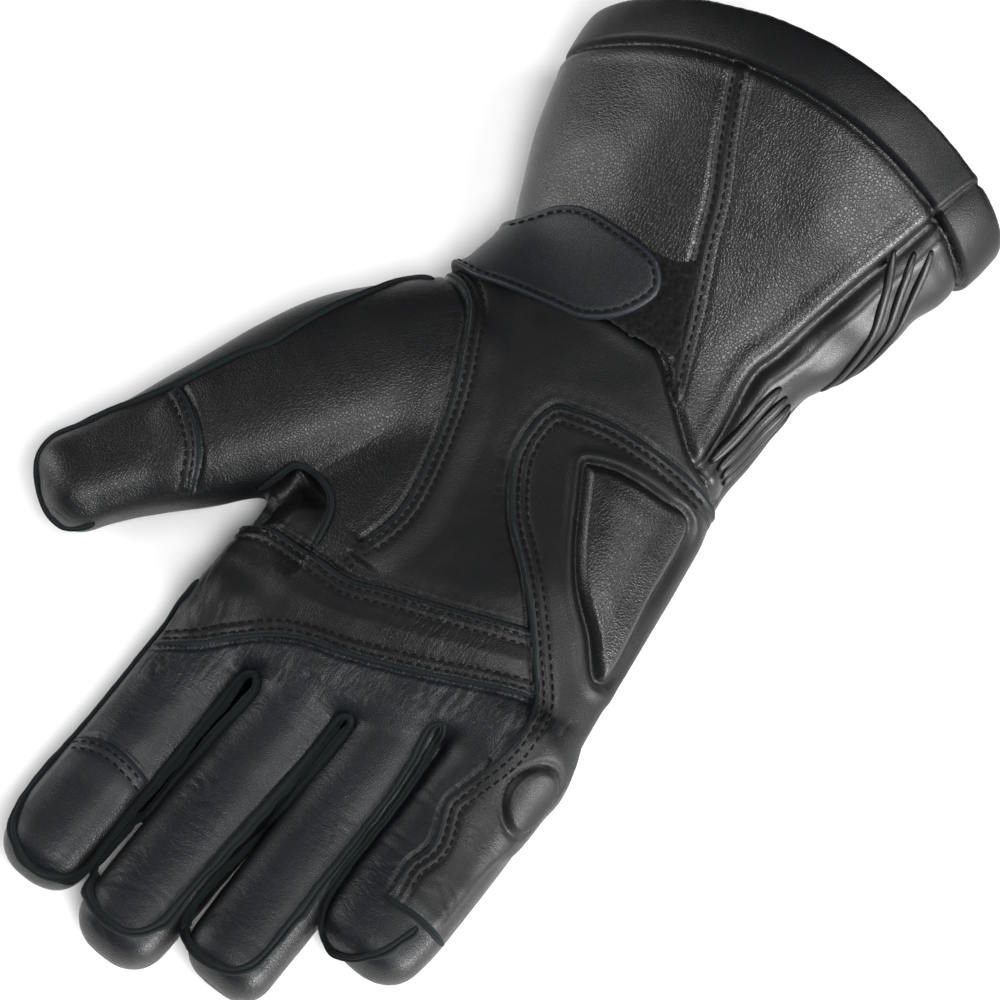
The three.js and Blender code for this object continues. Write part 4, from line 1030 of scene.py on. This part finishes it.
def plan_stitches(curve, side, keep=None, pitch=2.8, lowest=0.0):
    line = resample(offset_line(curve, side), pitch)
    if keep is not None:
        line_ok = keep(line)
    spots, ups, found = drop(line)
    if keep is not None:
        found &= line_ok
    found &= spots[:, 2] > lowest
    return stitch_row(spots, ups, found, pitch)


threads = []
THUMB_PATCH_END = -0.775  # where its seam runs under the thumb's edge
SEAM_HEIGHTS = {"thumb_patch": THUMB_SEAM_Z + 7}
not_side = lambda p: ~inside(side_outline, p[:, 0], p[:, 1])
above = {"side_panel": lambda p: p[:, 1] > hand_y(-1.165), "strip_upper": not_side, "strip_lower": not_side, "thumb_seam": None,
         "index_patch": lambda p: p[:, 0] < hand_x(-0.22), "thumb_patch": lambda p: p[:, 0] > hand_x(THUMB_PATCH_END)}
for name, (curve, side, rows) in lap_curves.items():
    for row in rows:
        threads += plan_stitches(curve, side * row, above[name], lowest=SEAM_HEIGHTS.get(name, PALM_SEAM_Z))
front_curve = resample(smooth_line(FRONT_SEAM), 1.5)
on_front = lambda p: (p[:, 1] < rim_y(p[:, 0]) - HEM_WIDTH - 1) & (p[:, 1] > 52)
for row in (-1.5, 1.5):
    threads += plan_stitches(front_curve, row, on_front)
points_thread, faces_thread = joined(threads)
add_mesh("stitches", points_thread, faces_thread, THREAD)

# Raw edges that stand up along the fingers' seams
RAW_EDGES = [(-0.6, -1.6), (-0.55, 0.7), (-0.35, 1.35), (0.1, 1.55), (0.36, 1.25), (0.46, 0.75), (0.56, 1.2),
             (0.8, 1.35), (1.0, 0.9), (1.05, -0.2), (0.9, -1.6)]


def welt(name, spots, ups, spread, replaces=(), wobble=0.35, lift=0.0, profile=RAW_EDGES, rounds=3):
    spots, ups = evened(spots, rounds), evened(ups, rounds + 5)
    ups = ups + np.array([0, 0, 0.6])
    ups /= np.linalg.norm(ups, axis=1)[:, None]
    spots = spots + ups * np.reshape(lift + wobble * noise(spots, 6, 21), (-1, 1))
    p, f = sweep(spots, ups, profile, 4, evened(spread * (1 + 0.2 * noise(spots, 4, 22)), 2))
    p = p + wobble * 0.6 * np.stack([noise(p, 4.5, 23), noise(p, 4.5, 24), noise(p, 3.5, 25)], 1)
    return add_mesh(name, p, f, RAW, replaces=replaces)


FINGER_SEAMS = {  # as seen on the plane 22 mm up
    "index": [(-55.6, -72), (-55.6, -84), (-55.2, -100), (-55.0, -115), (-54.6, -130), (-54.2, -145), (-53, -157),
              (-49.5, -164.5), (-43, -168), (-36, -168.5), (-30, -165.5), (-27, -160), (-27.4, -145),
              (-27.6, -130), (-28.0, -112), (-28.2, -98), (-28.3, -89.5), (-27, -85.5), (-24.7, -84.2)],
    "middle": [(-25.3, -84.2), (-22.6, -85.3), (-21, -89.5), (-21.2, -98), (-21.8, -112), (-22.5, -130), (-23.8, -148), (-23.5, -158),
               (-19, -165.5), (-11, -167.5), (-4, -166.3), (0, -160), (0.8, -148), (1.5, -130), (2.1, -110), (2.4, -92),
               (2.2, -82), (2.8, -78.6), (5.2, -77.2)],
    "ring": [(4.6, -77.2), (7.2, -78.4), (8.2, -82.5), (8.4, -92), (8.0, -108), (6.8, -128), (5.0, -146), (6.5, -154), (12, -158.5),
             (20, -159), (26.5, -156.5), (29.8, -149), (29.5, -135), (29.4, -115), (28.9, -95), (27.2, -78),
             (25.2, -68), (25.8, -63.8), (27.8, -62.6)],
    "little": [(27.2, -62.6), (29.6, -63.8), (30.4, -68), (31.4, -80), (32.4, -95), (33.1, -110), (34.2, -122), (37.4, -130.5),
               (42.5, -135.5), (49, -134.6), (54.5, -129), (58, -121), (59.5, -115)],
}
seam_paths = {name: resample(smooth_line(places), 1.0) for name, places in FINGER_SEAMS.items()}
for name, path in seam_paths.items():
    others = np.vstack([other for key, other in seam_paths.items() if key != name])
    gap = np.linalg.norm(path[:, None] - others[None], axis=2).min(1)
    spread = np.where(gap < 8.5, np.clip(gap / 2 - 0.1, 1.5, 3.2), 2.2)
    if name == "little":
        spread = spread * (1 - 0.35 * step(path[:, 1], -124, -132))
    if name == "index":
        spread = spread * (0.4 + 0.6 * step(path[:, 1], -130, -150) + 0.6 * (path[:, 0] > -40)).clip(0, 1)
    spots, ups = seen(path, 22.0)
    rise = 0.9 * bell(np.minimum(gap, 20), 4.0)
    welt(f"{name}_raw_edge", spots, ups, spread, (f"{name}_welt",), lift=rise - 0.1)

THUMB_EDGE = [(-57, 41), (-63, 36), (-68, 28), (-75, 15), (-80, 2), (-82, -5), (-87, -12), (-92, -24), (-98, -38),
              (-105, -50), (-110, -60), (-114, -67), (-114, -75), (-110, -80), (-103, -87), (-98, -91), (-92, -87),
              (-87, -81)]
THIN_EDGE = [(-0.8, -1.2), (-0.75, 0.4), (-0.45, 0.95), (0.0, 1.0), (0.3, 0.6), (0.45, 0.35), (0.6, 0.7), (0.85, 0.8),
             (1.0, 0.3), (1.0, -1.2)]
path = resample(smooth_line(THUMB_EDGE), 1.0)
spots, ups = seen(path, 38.0)
welt("thumb_raw_edge", spots, ups, np.full(len(path), 1.5), ("thumb_welt",), wobble=0.15, profile=THIN_EDGE, rounds=14)

path = resample(smooth_line(CROTCH_EDGE), 1.0)
spots, ups = seen(path, 38.0)
ups = ups * 0.3 + TO_CAMERA
welt("thumb_crotch_edge", spots, ups, np.full(len(path), 1.1), wobble=0.15, lift=0.35, profile=THIN_EDGE)

LITTLE_END = [(49.4, -116), (53.4, -116.3), (57.4, -115.6), (62.4, -115.6), (67.4, -116.3), (71.4, -117.6)]
path = resample(smooth_line(LITTLE_END), 1.0)
spots, ups = seen(path, 38.0)
welt("side_panel_end", spots, ups, np.full(len(path), 1.7), wobble=0.15, lift=-0.2)

# Cut edges of the layers that are sewn on top
EDGE = [(-0.5, -0.6), (-0.48, 0.2), (-0.25, 0.48), (0.1, 0.54), (0.42, 0.35), (0.55, 0.0), (0.55, -0.6)]


def cut_edge(name, curve, side, keep=None, lowest=PALM_SEAM_Z):
    line = resample(offset_line(curve, side * 0.3), 1.5)
    spots, ups, found = drop(line)
    if keep is not None:
        found &= keep(line)
    found &= (ups[:, 2] > 0.05) & (spots[:, 2] > lowest)
    parts = []
    for run in pieces_of(found, 6):
        parts.append(sweep(evened(spots[run]), evened(ups[run], 4), EDGE, 3))
    if parts:
        p, f = joined(parts)
        add_mesh(name, p, f, RAW)


cut_edge("side_panel_edge", lap_curves["side_panel"][0], -1, lambda p: p[:, 1] > hand_y(-1.14))
cut_edge("strip_upper_edge", lap_curves["strip_upper"][0], 1, not_side)
cut_edge("strip_lower_edge", lap_curves["strip_lower"][0], -1, not_side)
cut_edge("thumb_seam_edge", lap_curves["thumb_seam"][0], -1, lambda p: p[:, 1] > hand_y(-0.62))
cut_edge("index_patch_edge", lap_curves["index_patch"][0], 1, lambda p: p[:, 0] < hand_x(-0.22))
cut_edge("thumb_patch_edge", lap_curves["thumb_patch"][0], 1, above["thumb_patch"], lowest=SEAM_HEIGHTS["thumb_patch"])


# Layers of their own: the strap and the loop patch
def layer_piece(name, outline, low, high, soft, pitch, material, replaces, rough=0.0, lift=None):
    """A flat piece over an outline, lying on the glove between two heights, with rounded edges."""
    outline = resample(smooth_line(np.vstack([outline, outline[:1]])), 2.0)[:-1]
    x0, y0 = outline.min(0) - 4
    x1, y1 = outline.max(0) + 4
    xs, ys, zs = np.arange(x0, x1, pitch), np.arange(y0, y1, pitch), np.arange(8, 92, pitch)
    gx, gy = np.meshgrid(xs, ys, indexing="ij")
    s, _ = outline_distance(outline, gx.ravel(), gy.ravel(), 200)
    s = s.reshape(gx.shape)
    x, y, z = np.meshgrid(xs, ys, zs, indexing="ij")
    d = hull_field(x, y, z, ("thumb",))
    mid, half = (low + high) / 2, (high - low) / 2
    if lift is not None:
        d = d - lift(x, y)
    shape = most(np.abs(d - mid) - half, np.broadcast_to(-s[:, :, None], x.shape), soft)
    shape = most(shape, CUFF_BACK_Z - z, 0.5)
    grid = openvdb.FloatGrid(4 * pitch)
    grid.copyFromArray(np.clip(shape, -4 * pitch, 4 * pitch).astype(np.float32))
    grid.gridClass = openvdb.GridClass.LEVEL_SET
    p, q = grid.convertToQuads(0.0)
    p, q = p.astype(float) * pitch + np.array([x0, y0, 8]), q.astype(np.int64)
    p = relax(p, q, 2)
    n = vertex_normals(p, q)
    if n[p[:, 2].argmax(), 2] < 0:
        q, n = q[:, ::-1], -n
    along, _ = outline_distance(outline, p[:, 0], p[:, 1], 200)
    if rough:
        p = p + n * (rough * np.abs(noise(p, 1.1, 31)))[:, None]
    else:
        p = p + n * (-0.35 * bell(along - 2.2, 0.6) + 0.3 * noise(p, 17, 32) + 0.12 * bell(along - 1, 0.8))[:, None] * (
            n[:, 2:] > 0)
    # The strap's rim is paled, for rubbed wear and as a painted highlight on its edge
    return add_mesh(name, p, q, material, vertex_normals(p, q), {"wear_and_highlight": bell(along - 0.3, 0.7) * 0.6}, replaces), (p, q)


strap_lift = lambda x, y: 0.5 * bell(x + 8, 16) * bell(y - 68, 9)
_, strap_mesh = layer_piece("wrist_strap_tab", STRAP, 0.7, 3.0, 1.2, 0.6, FINGER,
                            ("wrist_strap",), lift=strap_lift)
layer_piece("loop_patch_pile", LOOP_PATCH, -0.4, 1.0, 0.5, 0.6, LOOPS, ("loop_patch",), rough=1.2)

strap_tree = BVHTree.FromPolygons([tuple(p) for p in strap_mesh[0]], [tuple(q) for q in strap_mesh[1]])
skin_tree, tree = tree, strap_tree
strap_line = resample(smooth_line(np.vstack([STRAP, STRAP[:1]])), 1.5)
strap_threads = plan_stitches(strap_line, 2.2 if inside(STRAP, *[np.array([v]) for v in offset_line(strap_line, 2.2)[10]])[0] else -2.2)
tree = skin_tree
p, f = joined(strap_threads)
add_mesh("strap_stitches", p, f, THREAD)


# Cords under the gusset's leather, and the shirred elastic
def body_point(y, degrees, grow=0.0):
    angle = math.radians(degrees)
    left, right, high = body_at(y, "left"), body_at(y, "right"), body_at(y, "high")
    power = 2 / body_at(y, "square")
    tall = (high + FLATTENING) / 2 + grow
    up = math.copysign(abs(math.sin(angle)) ** power, angle)
    across = math.cos(angle) ** power * ((right - left) / 2 + grow)
    return ((left + right) / 2 + across + body_at(y, "lean") * up, y, (high - FLATTENING) / 2 + up * tall)


ROUND = [(math.cos(a) * 1.0, math.sin(a) * 1.0) for a in np.arange(12) * 2 * math.pi / 12]
for row in range(3):
    path = [body_point(WRIST_Y + (a + row * PIPING_STEP) * CUFF_LENGTH, t - row * PIPING_TURN) for a, t in PIPING_ROWS]
    path = resample(smooth_line(path), 1.5)
    on, ups = nearest(path)
    p, f = sweep(evened(on, 14) + 0.1 * evened(ups, 14), evened(ups, 14), [(1.5 * a, 1.15 * b) for a, b in ROUND], 6)
    add_mesh(f"gusset_piping_cord_{row + 1}", p, f, GUSSET, replaces=(f"gusset_piping_{row + 1}",))
ribs = []
for turn in ELASTIC_TURNS:
    path = [body_point(WRIST_Y + a * CUFF_LENGTH, turn) for a in np.linspace(*ELASTIC_RUN, 24)]
    on, ups = nearest(resample(np.array(path), 1.4))
    ups = evened(ups, 8)
    on = evened(on, 12) + 0.2 * ups
    ribs.append(sweep(on, ups, [(1.9 * a, 1.5 * b) for a, b in ROUND], 6))
p, f = joined(ribs)
add_mesh("shirred_elastic_ribs", p, f, GUSSET, replaces=("shirred_elastic",))

# Floor, light and camera
floor = bpy.data.objects.new("floor", bpy.data.meshes.new("floor"))
floor.data.from_pydata([(-3, -3, 0), (3, -3, 0), (3, 3, 0), (-3, 3, 0)], [], [(0, 1, 2, 3)])
bpy.context.scene.collection.objects.link(floor)
paper = bpy.data.materials.new("paper")
paper.use_nodes = True
paper.node_tree.nodes["Principled BSDF"].inputs["Base Color"].default_value = (0.93, 0.93, 0.93, 1)
paper.node_tree.nodes["Principled BSDF"].inputs["Roughness"].default_value = 0.9
floor.data.materials.append(paper)

WORLD_LIGHT = 0.13
world = bpy.data.worlds.new("studio")
world.use_nodes = True
world.node_tree.nodes["Background"].inputs[0].default_value = (1, 1, 1, 1)
world.node_tree.nodes["Background"].inputs[1].default_value = WORLD_LIGHT
bpy.context.scene.world = world


MIDDLE = (np.array([0, 0, 30.0]) + ORIGIN) * MM


def lamp(name, right, up, near, distance, size, power):
    """A soft box, placed by its direction as the camera sees it."""
    data = bpy.data.lights.new(name, "AREA")
    data.shape = "RECTANGLE"
    data.size, data.size_y = size
    data.energy = power
    o = bpy.data.objects.new(name, data)
    way = right * IMAGE_RIGHT + up * IMAGE_UP + near * TO_CAMERA
    o.location = Vector(MIDDLE + distance * way / np.linalg.norm(way))
    o.rotation_euler = (Vector(MIDDLE) - o.location).to_track_quat("-Z", "Y").to_euler()
    bpy.context.scene.collection.objects.link(o)


lamp("key", 0.1, -0.08, 0.98, 1.6, (0.5, 0.5), 22)
lamp("right_box", 0.62, 0.3, 0.72, 1.25, (0.4, 0.4), 5)
lamp("left_box", -0.88, 0.4, 0.25, 1.2, (0.4, 0.9), 10)
lamp("low_box", 0.6, -0.6, 0.4, 1.2, (0.5, 0.5), 27)

camera = bpy.data.objects.new("camera", bpy.data.cameras.new("camera"))
camera.data.sensor_width = 36
camera.data.lens = 158.6
camera.data.clip_end = 20
target = MIDDLE
camera.location = (EYE + ORIGIN) * MM
camera.rotation_euler = (Vector(target) - camera.location).to_track_quat("-Z", "Y").to_euler()
bpy.context.scene.collection.objects.link(camera)
bpy.context.scene.camera = camera
bpy.context.scene.view_settings.view_transform = "Standard"
